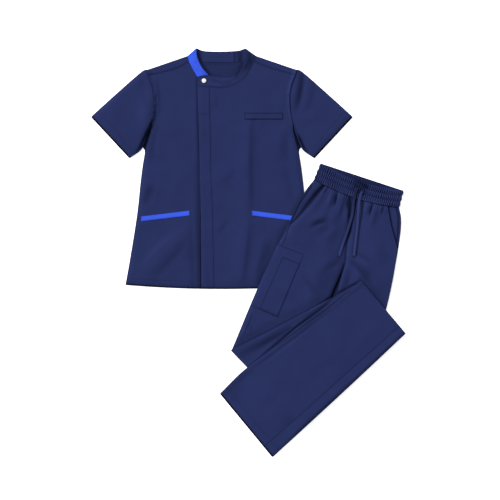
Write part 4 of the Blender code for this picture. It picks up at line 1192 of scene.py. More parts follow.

# %% [markdown]
# The wearer's left front laps over it. The overlap band is a strip of its own, whose free edge stands up a
# little from the right front, which dips beside it; the dark line there is partly that dip and partly
# painted shadow. The collar's end reaches over to the snap.

# %% Left front, overlap band, shoulder piece and collar
left_front_panel = Panel(
    Edge(LEFT_NECK, YOKE_SEAM), Edge(hem_line(BAND_SEAM[-1][0], HEM_CORNER[0])), Edge(BAND_SEAM), side_of(1),
)
band_top = [BAND_EDGE[0], BAND_SEAM[0]]
band_panel = Panel(
    Edge(band_top), Edge(hem_line(BAND_EDGE[-1][0], BAND_SEAM[-1][0])), Edge(BAND_EDGE), Edge(BAND_SEAM),
)
left_collar_panel = Panel(Edge(LEFT_COLLAR_TOP), Edge(band_top, LEFT_NECK, [YOKE_NECK, NECK_POINT]))
COLLAR_CREASES = [
    (48, 74, 66, 40, 3, -1.4, 5, 0.0),
    (58, 84, 82, 50, 3, 1.2, 7, 0.0),
    (34, 94, 56, 76, 0, -1.1, 6, 0.0),
    (72, 8, 80, 40, 0, 1.2, 5, 0.0),
    (0, 92, 26, 96, 0, 0.8, 8, 0.0),
    (-30, 96, 6, 104, 0, -0.7, 6, 0.0),
]
BAND_CREASES = [(-72, 193, -38, 194, 0, -0.6, 5, 0.0), (-70, 330, -28, 322, 0, 0.6, 9, 0.0),
                (-66, 560, -20, 556, 0, 0.6, 12, 0.0)]
# painted shade on the collar where it turns away from the light, and along its lower edge
COLLAR_SHADE = [
    [(75, 14, 7, 0.45), (78, 38, 9, 0.60), (68, 58, 9, 0.68)],
    [(86, 14, 8, 0.42), (84, 42, 9, 0.60), (78, 58, 7, 0.50)],
    [(96, 18, 8, 0.42), (92, 40, 7, 0.45)],
    [(68, 58, 9, 0.60), (56, 74, 5, 0.30), (44, 94, 5, 0.1)],
    [(60, 50, 3, 0.5), (46, 72, 4, 0.7), (34, 84, 3, 0.2)],
    [(-70, 84.5, 2.0, 0.7), (-56, 81.4, 2.0, 0.5), (-30, 80.8, 2.0, 0.3)],
]
# painted shade on the tunic beside the trousers that lie on it
UNDER_TROUSERS_SHADE = [(240, 405, 7, 0.15), (205, 480, 9, 0.25), (178, 540, 15, 0.38), (148, 602, 15, 0.42),
                  (112, 680, 12, 0.60)]
lay(
    Piece("tunic_front_left", left_front_panel, on_tunic, [("end", HEM_DEPTH)], FRONT_CREASES, 3.0, seed=20,
          drooping=("end", "right"), edges={"left": 0.35, "end": 0.8},
          lines=[LEFT_SIDE_SHADE, UNDER_TROUSERS_SHADE, HEM_EDGE_SHADE]),
    Piece("overlap_band", band_panel, on_tunic, [("end", HEM_DEPTH)], BAND_CREASES, 3.5, seed=21, ripple=0.2,
          drooping=("end", "left"), edges={"left": 0.0, "right": 0.35, "end": 0.8}, lines=[HEM_EDGE_SHADE]),
    Piece("yoke_left", left_yoke_panel, on_tunic, [("end", YOKE_SEWN)], seed=22, step=3.0, ripple=0.15),
    Piece("collar_left", left_collar_panel, on_tunic, [("start", COLLAR_SEAM)], COLLAR_CREASES, 2.0, seed=23,
          ripple=0.2, edges={"end": 0.6}, lines=COLLAR_SHADE),
    rests_on=["tunic_front_right_cloth", "tunic_back_cloth"],
)

# %% [markdown]
# Each pocket's mouth is bound by a welt, a narrow folded strip sewn down at its ends: navy on the chest,
# blue at the hips.

# %% Pocket welts
WELT_CLOTH, WELT_SHADE = 0.6 * MM, 1.5
WELT_SEWN = [("left", 1.5), ("right", 1.5), ("end", 1.5)]
# columns: solid, its two upper corners, height, finish, how dark the shade painted along its edges is, the
# front that it is sewn to
WELTS = [
    ("hip_welt_right", (-93.7, 472.1), (-233.5, 488.9), 13.9, accent_twill, 0.25, "tunic_front_right_cloth"),
    ("hip_welt_left", (87.2, 472.1), (233.5, 490.5), 13.9, accent_twill, 0.25, "tunic_front_left_cloth"),
    ("chest_welt", (65.5, 188.6), (176.6, 188.6), 18.8, navy_twill, 0.9, "tunic_front_left_cloth"),
]
for node, inner, outer, height, finish, dark, front in WELTS:
    top, foot = [inner, outer], [(x, y + height) for x, y in (inner, outer)]
    welt = Piece(node, Panel(Edge(top), Edge(foot)), on_tunic, WELT_SEWN, step=3.0, finish=finish, seed=30,
                 ripple=0.1, edges=dict.fromkeys(SIDES, dark), sunk=1.0,
                 lines=[shade_along(edge, WELT_SHADE, dark) for edge in (top, foot)])
    lay(welt, rests_on=[front], thick=WELT_CLOTH)


# %% [markdown]
# The snap's cap is a small pearly plastic disc with a rounded rim and a shallow dish in its middle. It
# starts as a cylinder. Its top face is inset and let down twice for the dish, and a bevel rounds every
# edge.

# %% Snap cap
SNAP_PLACE, SNAP_RADIUS = (-51.9, 95.6), 6.4 * MM
SNAP_FOOT, SNAP_TOP = 5.8 * MM, 8.3 * MM
SNAP_DISH = [(1.5 * MM, -0.15 * MM), (0.5 * MM, -0.35 * MM)]  # how far each inset goes in, and down
SNAP_ROUND, SNAP_ROUND_STEPS, SNAP_CORNER = 0.45 * MM, 5, math.radians(25)
PEARL_DARK, PEARL_LIGHT, SWIRL = (0.58, 0.59, 0.66), (0.74, 0.74, 0.78), 4 * MM

bpy.ops.object.select_all(action="DESELECT")
snap_at = on_tunic(np.array(SNAP_PLACE))
bpy.ops.mesh.primitive_cylinder_add(vertices=72, radius=SNAP_RADIUS, depth=SNAP_TOP - SNAP_FOOT,
                                    location=(*snap_at, (SNAP_TOP + SNAP_FOOT) / 2))
snap = bpy.context.object
snap.name = "snap_cap_pearl"
bpy.ops.object.transform_apply(location=True, rotation=False, scale=False)
for face in snap.data.polygons:
    face.select = face.normal.z > 0.9
bpy.ops.object.mode_set(mode="EDIT")
bpy.ops.mesh.select_mode(type="FACE")
for inward, downward in SNAP_DISH:
    bpy.ops.mesh.inset(thickness=inward)
    bpy.ops.transform.translate(value=(0, 0, downward))
bpy.ops.object.mode_set(mode="OBJECT")
rim = snap.modifiers.new("rim", "BEVEL")
rim.width, rim.segments = SNAP_ROUND, SNAP_ROUND_STEPS
rim.limit_method, rim.angle_limit = "ANGLE", SNAP_CORNER
bpy.ops.object.modifier_apply(modifier="rim")
bpy.ops.object.shade_smooth()

pearl = Finish("snap_pearl", Roughness=0.28, Coat_Weight=0.5, Specular_IOR_Level=0.5)
pearl.feed(Base_Color=pearl.mix(pearl.noise(pearl.object_place(), SWIRL), PEARL_DARK, PEARL_LIGHT))
snap.data.materials.append(pearl.material)
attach(snap, "root")
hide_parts("snap_cap")
print("snap cap", [round(size / MM, 1) for size in snap.dimensions], "mm")

# %% [markdown]
# ## The trousers
# They are drawn in a frame of their own too, with its origin at the middle of the back of the waist.

# %% Cut of the trousers
WAIST_TOP_HALF, WAIST_SEAM_HALF = 126.0, 129.5
BAND_HEIGHT = 50.5
FRONT_DIP = 14.0  # how far the front of the waist sags below the back
RIGHT_OUTSEAM = [(-129.5, 50.5), (-143.6, 90), (-152.6, 138), (-158.6, 186), (-169.0, 259), (-186.8, 400),
                 (-201.6, 592)]
LEFT_OUTSEAM = [(129.5, 50.5), (145.6, 80), (157.8, 125), (167, 177), (174, 227), (184.4, 315), (190, 420)]
CENTRE_SEAM = [(4, 64.5), (10, 140), (20, 205), (31, 249)]
BACK_SEAM = [(4, 50.5), *CENTRE_SEAM[1:]]
RIGHT_INSEAM = [(31, 249), (27, 300), (22, 356), (17, 500), (14, 706)]
LEFT_INSEAM = [(31, 249), (33, 300), (35.5, 356), (38, 420)]
# the left back fills the slit between the legs
BACK_INSEAM = [RIGHT_INSEAM[0], (25.8, 300), (20.8, 356), (19.3, 402)]
RIGHT_SLASH = [(-93.6, 57.2), (-98.6, 73), (-114.9, 120), (-136.8, 167), (-154.2, 198)]
LEFT_SLASH = [(96.4, 56.6), (125.6, 110), (161.0, 163)]
SLASH_UNDER = 12.0  # how far a pocket's facing runs on under the front
CARGO_POCKET = [(-172.2, 261.5), (-91.3, 266), (-105.3, 463.5), (-191.6, 454)]
PHONE_POCKET = [(-146.5, 292), (-94.3, 295), (-107.2, 460), (-163.5, 455)]
FOLD_LINE = [RIGHT_OUTSEAM[-1], RIGHT_INSEAM[-1]]
TURNED_UPPER = [RIGHT_OUTSEAM[-1], (-114.5, 506.5), (-13.5, 400.8), (87.8, 296.0)]
TURNED_LOWER = [RIGHT_INSEAM[-1], (125, 560), (236.2, 401.5)]
TOP_UPPER = [(91.5, 286.8), (24.8, 394.2), (-43.6, 489.7), (-142.6, 627.8), (-192.4, 722.4)]
TOP_SEAM = [(237.3, 376.1), (-23.1, 829.1)]
TOP_LOWER = [(261.0, 390.6), (136, 621), (8.8, 849.1)]


def waist_line(half, drop, dip, from_share=-1.0, to_share=1.0):
    """A line across the waist that sags by dip at its middle."""
    share = np.linspace(from_share, to_share, 9)
    return [tuple(point) for point in np.stack([half * share, drop + dip * (1 - share**2)], axis=-1)]


def front_waist_seam(from_across, to_across):
    """A stretch of the seam under the front of the waistband."""
    shares = from_across / WAIST_SEAM_HALF, to_across / WAIST_SEAM_HALF
    return waist_line(WAIST_SEAM_HALF, BAND_HEIGHT, FRONT_DIP, *shares)


def further_down(table, start, gap=15):
    """The rest of a side's line, from a point beside it down to its end."""
    return [start] + [point for point in table if point[1] > start[1] + gap]


print("outseam", round(Edge(RIGHT_OUTSEAM).length + Edge(TURNED_UPPER).length), "mm")

# %% Creases of the trousers
# columns as for the tunic
BOTH_LEGS = [
    (-54, 62, -48, 106, 0, -3.6, 5, 0.3),
    (-68, 62, -66, 112, 0, 2.2, 7, 0.0),
    (-20, 62, -4, 108, 3, -3.4, 5, 0.3),
    (-36, 64, -30, 130, 0, 2.2, 7, 0.0),
    (54, 60, 56, 100, 0, -3.2, 5, 0.3),
    (68, 60, 68, 124, 0, 2.0, 8, 0.0),
    (36, 62, 42, 100, 0, 1.6, 6, 0.0),
    (84, 58, 88, 86, 0, -1.8, 4, 0.0),
    (118, 52, 141, 82, 0, -2.6, 5, 0.0),
    (-84, 58, -90, 84, 0, -1.6, 4, 0.0),
    (-56, 152, -96, 184, 3, -3.4, 9, 0.0),
    (-25, 156, -40, 208, 0, 2.0, 14, 0.0),
    (-60, 196, -30, 252, 0, 1.2, 16, 0.0),
    (42, 240, 130, 297, -7, -2.4, 9, 0.2),
    (40, 224, 140, 272, -7, 1.6, 10, 0.0),
    (60, 266, 130, 312, -4, 0.9, 10, 0.0),
    (52, 262, 58, 352, 0, -2.8, 14, 0.0),
    (24, 246, -20, 300, 4, -1.3, 10, 0.0),
    (34, 214, 110, 226, 0, -1.3, 10, 0.0),
    (-30, 300, -20, 480, 4, 1.3, 22, 0.0),
    (-150, 210, -120, 246, 0, 1.1, 12, 0.0),
    (90, 130, 130, 230, 8, 1.2, 22, 0.0),
    (-197, 500, -150, 530, 0, -1.1, 10, 0.0),
    (-208, 536, -135, 518, 0, 0.6, 8, 0.0),
    (-175, 469, -182, 560, 0, -0.8, 3, 0.0),
    (-144, 490, -76, 483, 2, -0.9, 8, 0.0),
    (-88, 307, 2, 375, 4, -1.2, 12, 0.0),
]
TOP_LEG_CREASES = [
    (60, 352, -125, 628, -3, -1.6, 4, 0.0),
    (60, 380, -70, 590, 6, 0.9, 24, 0.0),
    (150, 420, 20, 640, -8, -0.9, 22, 0.0),
    (-90, 660, -130, 730, 0, 0.9, 20, 0.0),
    (190, 380, 120, 500, 5, 0.7, 16, 0.0),
    (-20, 640, -70, 760, 0, -0.8, 18, 0.0),
    (84, 306, 130, 345, 0, -0.9, 9, 0.0),
]
TURNED_CREASES = [
    (-137, 631, 39, 350, -7, -3.4, 4.5, 0.0),
    (-125, 628, 42, 366, -4, 1.4, 4, 0.0),
    (-116, 573, 20, 357, -5, -1.2, 16, 0.0),
    (-166, 571, 0, 388, 2, 1.6, 10, 0.0),
    (-41, 450, 71, 309, 0, -1.0, 4, 0.0),
]
# painted shade on the turned-up leg, in the groove under the top leg's edge
BESIDE_TOP_LEG_SHADE = [
    [(-135, 627, 1.6, 0.35), (42, 349, 1.6, 0.35)],
    [(-128, 614, 2.5, 0.40), (-49, 477, 3.2, 1.0), (15, 385, 3.0, 0.90), (28, 363, 2.0, 0.30)],
    [(-184, 610, 12, 0.14), (-154, 578, 11, 0.34)],
    [(-154, 578, 10, 0.34), (-124, 549, 9, 0.48), (-96, 520, 9, 0.50), (-60, 478, 6, 0.40)],
    shade_along(TOP_UPPER[1:4], 2.0, 0.75, -1.5),
    [(91, 289, 2.0, 0.2), (23.0, 393.9, 2.0, 0.75)],
]

# %% [markdown]
# The back of the trousers goes down first, then the two pocket facings, which show past the slanted pocket
# mouths. The right back goes on past its fold, so it is only put down here, and made into a sheet further
# on.

# %% Trouser backs
COARSE_STEP = 7.0
FINE_SHARE = 0.45  # columns lie closer over this share of the right back's width, where its edge shows

right_back_panel = Panel(left=Edge(RIGHT_OUTSEAM), right=Edge(BACK_SEAM, RIGHT_INSEAM))
left_back_panel = Panel(left=Edge(BACK_SEAM, BACK_INSEAM), right=Edge(LEFT_OUTSEAM))
back_band_panel = Panel(Edge(waist_line(WAIST_TOP_HALF, 0.0, 0.0)),
                        Edge(waist_line(WAIST_SEAM_HALF, BAND_HEIGHT, 0.0)))
back_down, _ = right_back_panel.lines(COARSE_STEP)
fine_part, wide_part = grid_shares(100.0, 2.0)[:-4], grid_shares(100.0, 6.0)[3:]
back_over = np.concatenate([fine_part * FINE_SHARE, FINE_SHARE + wide_part * (1 - FINE_SHARE)])
back_plan = right_back_panel.plan(back_down, back_over)
back_xy = on_trousers(back_plan)
back_low = felt_height(right_back_panel, on_trousers, "trouser_back_right", back_down, back_over, top=False)
back_low = cleared(back_xy, np.maximum(back_low + ripples(back_plan, 90, 0.3, 40), 0.0))
# the slit between the legs and the waistband's inside get painted shade, on the shaded copy of the cloth
lay(
    Piece("trouser_back_left", left_back_panel, on_trousers, step=COARSE_STEP, finish=navy_in_shade, seed=41,
          over_step=3.0, lines=[shade_along(RIGHT_INSEAM[:4], 11, 1.0)]),
    Piece("waistband_back", back_band_panel, on_trousers, [("start", 4.0)], finish=navy_in_shade, seed=42,
          ripple=0.2, lines=[[(-70, 8, 9, 0.4), (0, 12, 9, 0.5), (70, 8, 9, 0.4)]]),
    rests_on=["tunic_front_left_cloth", "tunic_back_cloth"],
)
add_to_pile(back_xy, back_low + CLOTH)

# %% Pocket facings
def facing_panel(slash, outseam, side):
    """The cloth behind a slanted pocket mouth."""
    inner = [(x - side * SLASH_UNDER, y) for x, y in slash]
    end = (slash[-1][0] + side, slash[-1][1] + 8)
    outer = [outseam[0]] + [point for point in outseam[1:] if point[1] < end[1] - 5] + [end]
    start = front_waist_seam(outer[0][0], inner[0][0])
    return Panel(Edge(start), Edge([end, inner[-1]]), Edge(outer), Edge([start[-1], *inner[1:]]))


FACING_SEAM = [(-131, 70), (-137.7, 97), (-143.3, 114), (-148.1, 134), (-151.5, 164), (-156, 200)]
# painted shade in the slanted pocket mouths and along the facing's seam
RIGHT_FACING_SHADE = [
    [(-96, 52, 7, 1.0), (-113, 88, 8, 0.95), (-128, 129, 7, 0.80), (-139, 162, 4, 0.70),
     (-152, 192, 2.5, 0.60)],
    shade_along(FACING_SEAM, 1.7, 0.9),
]
LEFT_FACING_SHADE = [shade_along(LEFT_SLASH, 3.8, 0.9), shade_along(LEFT_OUTSEAM[:5], 2.6, 0.8, -8.0)]
FACING_CREASES = [(-137, 82, -153, 186, 5, -1.5, 2.6, 0.0)]
TROUSER_BACKS = ["trouser_back_left_cloth", "trouser_back_right_cloth"]
lay(
    Piece("pocket_facing_right", facing_panel(RIGHT_SLASH, RIGHT_OUTSEAM, -1), on_trousers, (),
          FACING_CREASES, 1.5, seed=43, ripple=0.2, lines=RIGHT_FACING_SHADE),
    Piece("pocket_facing_left", facing_panel(LEFT_SLASH, LEFT_OUTSEAM, 1), on_trousers, step=2.5, seed=44,
          ripple=0.2, lines=LEFT_FACING_SHADE),
    rests_on=TROUSER_BACKS,
)

# %% [markdown]
# The fronts are gathered into the waistband: small pleats start at its seam and fade out over a few
# centimetres.

# %% Gathers at the waist
GATHER_WIDTH = 2 * WAIST_SEAM_HALF / 46  # 46 gathers across the front
GATHER_FADE, GATHER_HEIGHT = 15.0, 0.8 * MM
GATHER_SHIFTS = [(1.1, 9.0, 1.0), (0.7, 4.1, 2.0)]  # how far and over what length the gathers wander sideways


def gather_waves(plan, seed):
    """An uneven wave across the waist, from -1 to 1, with one ridge for each gather."""
    across = plan[..., 0] + sum(far * np.sin(plan[..., 0] / length + share * seed)
                                for far, length, share in GATHER_SHIFTS)
    wave = np.sin(2 * math.pi * across / GATHER_WIDTH + seed)
    return wave * (0.72 + 0.28 * np.sin(plan[..., 0] / 13.0 + 3.0 * seed))


def below_waist(plan):
    """How far below the waistband's seam each point lies."""
    return plan[..., 1] - BAND_HEIGHT - FRONT_DIP * (1 - (plan[..., 0] / WAIST_SEAM_HALF) ** 2)


# %% Trouser fronts
INSEAM_SEWN = 1.8
right_start = front_waist_seam(RIGHT_SLASH[0][0], CENTRE_SEAM[0][0])
left_start = front_waist_seam(CENTRE_SEAM[0][0], LEFT_SLASH[0][0])
right_front_panel = Panel(
    Edge(right_start), Edge(FOLD_LINE),
    Edge(RIGHT_SLASH, further_down(RIGHT_OUTSEAM, RIGHT_SLASH[-1])),
    Edge([right_start[-1], *CENTRE_SEAM[1:]], RIGHT_INSEAM),
)
left_front_panel = Panel(
    Edge(left_start), Edge([LEFT_INSEAM[-1], LEFT_OUTSEAM[-1]]),
    Edge([left_start[0], *CENTRE_SEAM[1:]], LEFT_INSEAM),
    Edge(LEFT_SLASH, further_down(LEFT_OUTSEAM, LEFT_SLASH[-1])),
)
# painted shade beside the drawstrings, beside the turned-up leg, along the outseam, in the slit and on the
# thigh
BESIDE_STRINGS_SHADE = [
    shade_along(RIGHT_STRING, 6.5, 0.5), shade_along(LEFT_STRING, 6.5, 0.6),
    [(-15.9, 67, 4.5, 1.0), (-2.1, 116.7, 4.0, 1.0), (1.9, 143, 2.5, 0.4)],
    [(9.7, 122, 3.0, 0.7), (16.2, 156.5, 4.0, 1.0), (16.6, 181, 3.5, 0.8), (15.0, 208, 2.5, 0.2)],
    [(21.6, 58, 5.5, 0.95), (32.3, 105.4, 3.5, 0.75), (39.9, 148.7, 2.6, 0.7), (49.4, 191.4, 2.6, 0.7),
     (55.0, 222.8, 2.6, 0.9)],
    [(4.9, 68.6, 3.0, 0.8), (13.0, 111.7, 2.6, 0.6)],
]
BESIDE_TURNED_LEG_SHADE = [
    [(-203, 590.5, 2.6, 0.50), (-116, 505, 2.6, 0.40), (-15, 399.4, 2.6, 0.45), (17, 364, 5.0, 0.75),
     (74, 303, 5.0, 0.80), (87, 288, 2.5, 0.50)],
    [(-196, 570, 13, 0.28), (-140, 512, 11, 0.14), (0, 366, 11, 0.16)],
    [(86, 284, 3.0, 0.50), (110, 297, 3.0, 0.50), (240, 376, 3.0, 0.50)],
    [(96, 278, 11, 0.22), (190, 334, 9, 0.10)],
]
OUTSEAM_SHOWS = [(-154.6, 199), (-156.6, 212), (-156.4, 225), (-155.6, 240), (-159, 262)]
OUTSEAM_SHADE = shade_along(OUTSEAM_SHOWS, 1.6, 0.6)
RIGHT_CROTCH_SHADE = [(29, 255, 3, 0.6), (24, 352, 5.5, 0.70), (20, 420, 6, 0.5)]
LEFT_THIGH_SHADE = [
    [(50, 275, 13, 0.20), (58, 360, 13, 0.30)],
    [(46, 243, 9, 0.24), (100, 262, 11, 0.30), (132, 304, 9, 0.26)],
]
fronts = [
    Piece("trouser_front_right", right_front_panel, on_trousers, [("right", INSEAM_SEWN)], BOTH_LEGS, seed=45,
          over_step=1.5, drooping=("start", "left", "right"), edges={"left": 0.0, "start": 0.0},
          lines=[*BESIDE_STRINGS_SHADE, *BESIDE_TURNED_LEG_SHADE, RIGHT_CROTCH_SHADE, OUTSEAM_SHADE]),
    Piece("trouser_front_left", left_front_panel, on_trousers, [("left", INSEAM_SEWN)], BOTH_LEGS, seed=46,
          over_step=1.5, drooping=("start", "left"), edges={"right": 0.0, "start": 0.0},
          lines=[*BESIDE_STRINGS_SHADE, *BESIDE_TURNED_LEG_SHADE, *LEFT_THIGH_SHADE]),
]
for front in fronts:
    fade = np.exp(-np.maximum(below_waist(front.plan), 0) / GATHER_FADE)
    front.z += GATHER_HEIGHT * gather_waves(front.plan, 1.0) * fade
lay(*fronts, rests_on=TROUSER_BACKS)

# %% [markdown]
# The waistband is cloth drawn up on wide elastic. Three lines of stitching make three channels, and in each
# channel the cloth puffs up into short upright gathers. A wave across and a wave down, each a little
# uneven, give that texture. The band's ends bulge a little at each channel.

# %% Gathered waistband
CHANNELS = 3
# painted shade down in the gathers' valleys and between the channels, and where the strings come out
CHANNEL_PUFF, GATHER_DEPTH, GATHER_SHADE, CHANNEL_SHADE = 1.5 * MM, 1.9 * MM, 0.85, 0.45
END_BULGE = 1.6
ON_SOLID = 1.0 * MM  # how far the band's middle lies above the underside of its solid
UNDER_BAND_SHADE = [[(-12, 14, 9, 0.7), (20, 22, 11, 0.85)], [(-8, 32, 9, 0.7), (17, 36, 9, 0.7)]]


def scalloped(top, foot, side):
    """The band's end: it bulges outwards at each channel."""
    share = np.linspace(0, 1, 2 * CHANNELS + 1)
    bulge = side * END_BULGE * np.abs(np.sin(share * CHANNELS * math.pi))
    across, drop = (start + (end - start) * share for start, end in zip(top, foot))
    return np.stack([across + bulge, drop], axis=-1)


band_top = waist_line(WAIST_TOP_HALF, 0.0, FRONT_DIP)
band_foot = waist_line(WAIST_SEAM_HALF, BAND_HEIGHT, FRONT_DIP)
front_band_panel = Panel(
    Edge(band_top), Edge(band_foot), Edge(scalloped(band_top[0], band_foot[0], -1)),
    Edge(scalloped(band_top[-1], band_foot[-1], 1)),
)
waistband = Piece("waistband_front", front_band_panel, on_trousers, step=1.7, over_step=0.9,
                  edges={"end": 0.15}, lines=UNDER_BAND_SHADE)
share_down = waistband.down[:, None]
channel = np.floor(np.clip(share_down, 0, 0.999) * CHANNELS)
roll = np.abs(np.sin(share_down * CHANNELS * math.pi)) ** 0.75
gathers = gather_waves(waistband.plan, 1.0 + 1.7 * channel)
valley = (1 - gathers) / 2
waistband.z = felt_height(front_band_panel, on_trousers, "waistband_front", waistband.down, waistband.over,
                          top=False)
waistband.z += ON_SOLID + CHANNEL_PUFF * roll + GATHER_DEPTH * (0.3 + 0.7 * roll) * (1 - 2 * valley**1.6)
waistband.shade = np.maximum(waistband.shade, GATHER_SHADE * np.clip(valley, 0, 1) ** 2.2)
waistband.shade = np.maximum(waistband.shade, CHANNEL_SHADE * (1 - roll) ** 3)
lay(waistband, rests_on=["waistband_back_cloth"], held="gathered")

# %% [markdown]
# The cargo pocket reaches out to the leg's side edge and sinks with it. The narrow phone pocket lies on it.

# %% Cargo pocket and phone pocket
POCKET_CLOTH = 0.4 * MM
# columns: solid, its corners, seams, how dark the shade painted along its left edge is, sides that sink
POCKETS = [
    ("cargo_pocket", CARGO_POCKET, [("end", 1.6)], 0.0, ("left",)),
    ("phone_pocket", PHONE_POCKET, [("left", 1.6), ("end", 1.6)], 0.6, ()),
]
for node, (a, b, c, d), sewn, dark, drooping in POCKETS:
    # shade painted along the pocket's edges
    edges = {"start": 0.9, "left": dark, "right": 0.25, "end": 0.4}
    pocket = Piece(node, Panel(Edge([a, b]), Edge([d, c])), on_trousers, sewn, (), 3.0, seed=50, ripple=0.2,
                   edges=edges, sunk=1.2, drooping=drooping)
    lay(pocket, rests_on=["trouser_front_right_cloth"], thick=POCKET_CLOTH)

# %% [markdown]
# Between the thighs and the turned-up leg lie three folded layers, of which only the edges ever show.

# %% Hidden folded layers
HIDDEN_LAYER = 1.05 * MM
HIDDEN_INSETS = (5.0, 6.4, 5.4)  # how far each layer's edge lies inside the turned-up leg's


def moved_in(panel, by):
    """A panel made smaller by this many millimetres all round."""
    across, drop = by / panel.width, by / panel.length
    corners = panel.plan(np.linspace(drop, 1 - drop, 13), np.linspace(across, 1 - across, 9))
    return Panel(*(Edge(side) for side in (corners[0], corners[-1], corners[:, 0], corners[:, -1])))


turned_panel = Panel(left=Edge(TURNED_UPPER), right=Edge(TURNED_LOWER))
hidden_panels = [moved_in(turned_panel, inset) for inset in HIDDEN_INSETS]
layers = []
for number, panel in enumerate(hidden_panels):
    down, over = panel.lines(COARSE_STEP)
    plan = panel.plan(down, over)
    xy = on_trousers(plan)
    if number == 0:
        hidden_area = sheet_area(plan * MM)
        low = felt_height(panel, on_trousers, "folded_layers", down, over, top=False)
    low = cleared(xy, np.maximum(low, 0.0))
    middle = raised(xy, low + HIDDEN_LAYER / 2)
    layers.append(sheet_mesh(f"folded_layers_{number}", middle, plan, HIDDEN_LAYER))
    add_to_pile(xy, low + HIDDEN_LAYER)
bpy.ops.object.select_all(action="DESELECT")
for layer in layers:
    layer.select_set(True)
hidden = bpy.context.view_layer.objects.active = layers[0]
bpy.ops.object.join()
hidden.name = "folded_layers_cloth"
dress(hidden, "folded_layers", navy_in_shade, (3 * hidden_panels[0].width * MM, hidden_panels[0].length * MM),
      3 * hidden_area)

# %% [markdown]
# The right back now comes round its fold and lies back over the thighs as the turned-up lower leg: one
# sheet, from the waist to the hem.

# %% Turned-up leg
turned_down, _ = turned_panel.lines(STEP)
turned_plan = turned_panel.plan(turned_down, back_over)
turned_xy = on_trousers(turned_plan)
turned_lift, turned_shade = crease_height(turned_plan, TURNED_CREASES)
turned_low = felt_height(turned_panel, on_trousers, "trouser_back_right", turned_down, back_over) - CLOTH
turned_low = cleared(turned_xy, turned_low + turned_lift + ripples(turned_plan, 100, 0.3, 51))
add_to_pile(turned_xy, turned_low + CLOTH)
print("turned-up leg", round(turned_panel.length), "mm long")

# %% Right back, from the waist round the fold
FOLD_STEPS = np.radians([-75, -50, -25, 0, 25, 50, 75])

fold_base, fold_roof = back_low[-1] + CLOTH / 2, turned_low[0] + CLOTH / 2
fold_way = turned_xy[0, -1] - turned_xy[0, 0]
fold_out = np.array([fold_way[1], -fold_way[0]]) / np.linalg.norm(fold_way)
radius = (fold_roof - fold_base) / 2
turn_rows = [raised(turned_xy[0] + (radius * math.cos(angle))[:, None] * fold_out,
                    fold_base + radius * (1 + math.sin(angle))) for angle in FOLD_STEPS]
back_rows, turned_rows = raised(back_xy, back_low + CLOTH / 2), raised(turned_xy, turned_low + CLOTH / 2)
whole = np.concatenate([back_rows, turn_rows, turned_rows])
cut_rows = np.concatenate([back_plan, np.repeat(back_plan[-1:], len(turn_rows), axis=0), turned_plan])
right_back_flat = (right_back_panel.width * MM, (right_back_panel.length + turned_panel.length) * MM)
right_back_area = sheet_area(back_plan * MM) + sheet_area(turned_plan * MM)
whole_shade = np.zeros(whole.shape[:2])
whole_shade[-len(turned_plan):] = np.maximum(turned_shade, shaded(turned_plan, BESIDE_TOP_LEG_SHADE))
make_sheet("trouser_back_right", whole, cut_rows, [("right", 1.6)], right_back_flat, right_back_area,
           shade=whole_shade)

# %% [markdown]
# On top lies the left leg's lower part: a flattened tube whose outseam has rolled onto its upper face. The
# front piece ends at that seam. The back piece starts there, turns under along the lower edge, and runs
# back beneath.

# %% Layers of the left lower leg
LEG_HEM = 23.0
LEG_UNDER_FROM = 0.97  # from here down, the under layer reaches out past the upper one
LEG_DROOP = 0.6 * MM
STRIP_BLEND = 10  # a high power: the strip keeps its own height only close to the seam

leg_panel = Panel(left=Edge(TOP_UPPER), right=Edge(TOP_SEAM))
strip_panel = Panel(left=Edge(TOP_SEAM), right=Edge(TOP_LOWER))
hem = [("end", LEG_HEM)]
leg_down, leg_over = leg_panel.lines(STEP, hem)
_, strip_over = strip_panel.lines(3.0)
leg_plan, strip_plan = leg_panel.plan(leg_down, leg_over), strip_panel.plan(leg_down, strip_over)
leg_xy, strip_xy = on_trousers(leg_plan), on_trousers(strip_plan)


def leg_layers(panel, over, plan, xy, upper_node):
    """The heights of the middle of the upper and the under layer."""
    low = felt_height(panel, on_trousers, "lower_leg_back", leg_down, over, top=False)
    low = cleared(xy, low) + CLOTH / 2
    high = felt_height(panel, on_trousers, upper_node, leg_down, over) - CLOTH / 2
    high += crease_height(plan, TOP_LEG_CREASES)[0] + ripples(plan, 110, 0.4, 52)
    return np.maximum(high, low + HOLLOW), low


leg_high, leg_low = leg_layers(leg_panel, leg_over, leg_plan, leg_xy, "lower_leg_front")
strip_high, strip_low = leg_layers(strip_panel, strip_over, strip_plan, strip_xy, "lower_leg_back")
leg_high += seam_relief(leg_xy, hem, 3.0) + droop(leg_xy, ("start", "end", "left"), LEG_DROOP)
strip_high += (leg_high[:, -1:] - strip_high) * (1 - strip_over**STRIP_BLEND)
strip_high = np.maximum(strip_high, strip_low + HOLLOW)
strip_low[:, 0] = leg_low[:, -1]
print("left lower leg", round(leg_panel.length), "mm long")

# %% [markdown]
# With the layers' heights known, their columns are put in order round the tube. The front piece takes the
# near half of the turn along the upper edge, and the back piece takes the rest.

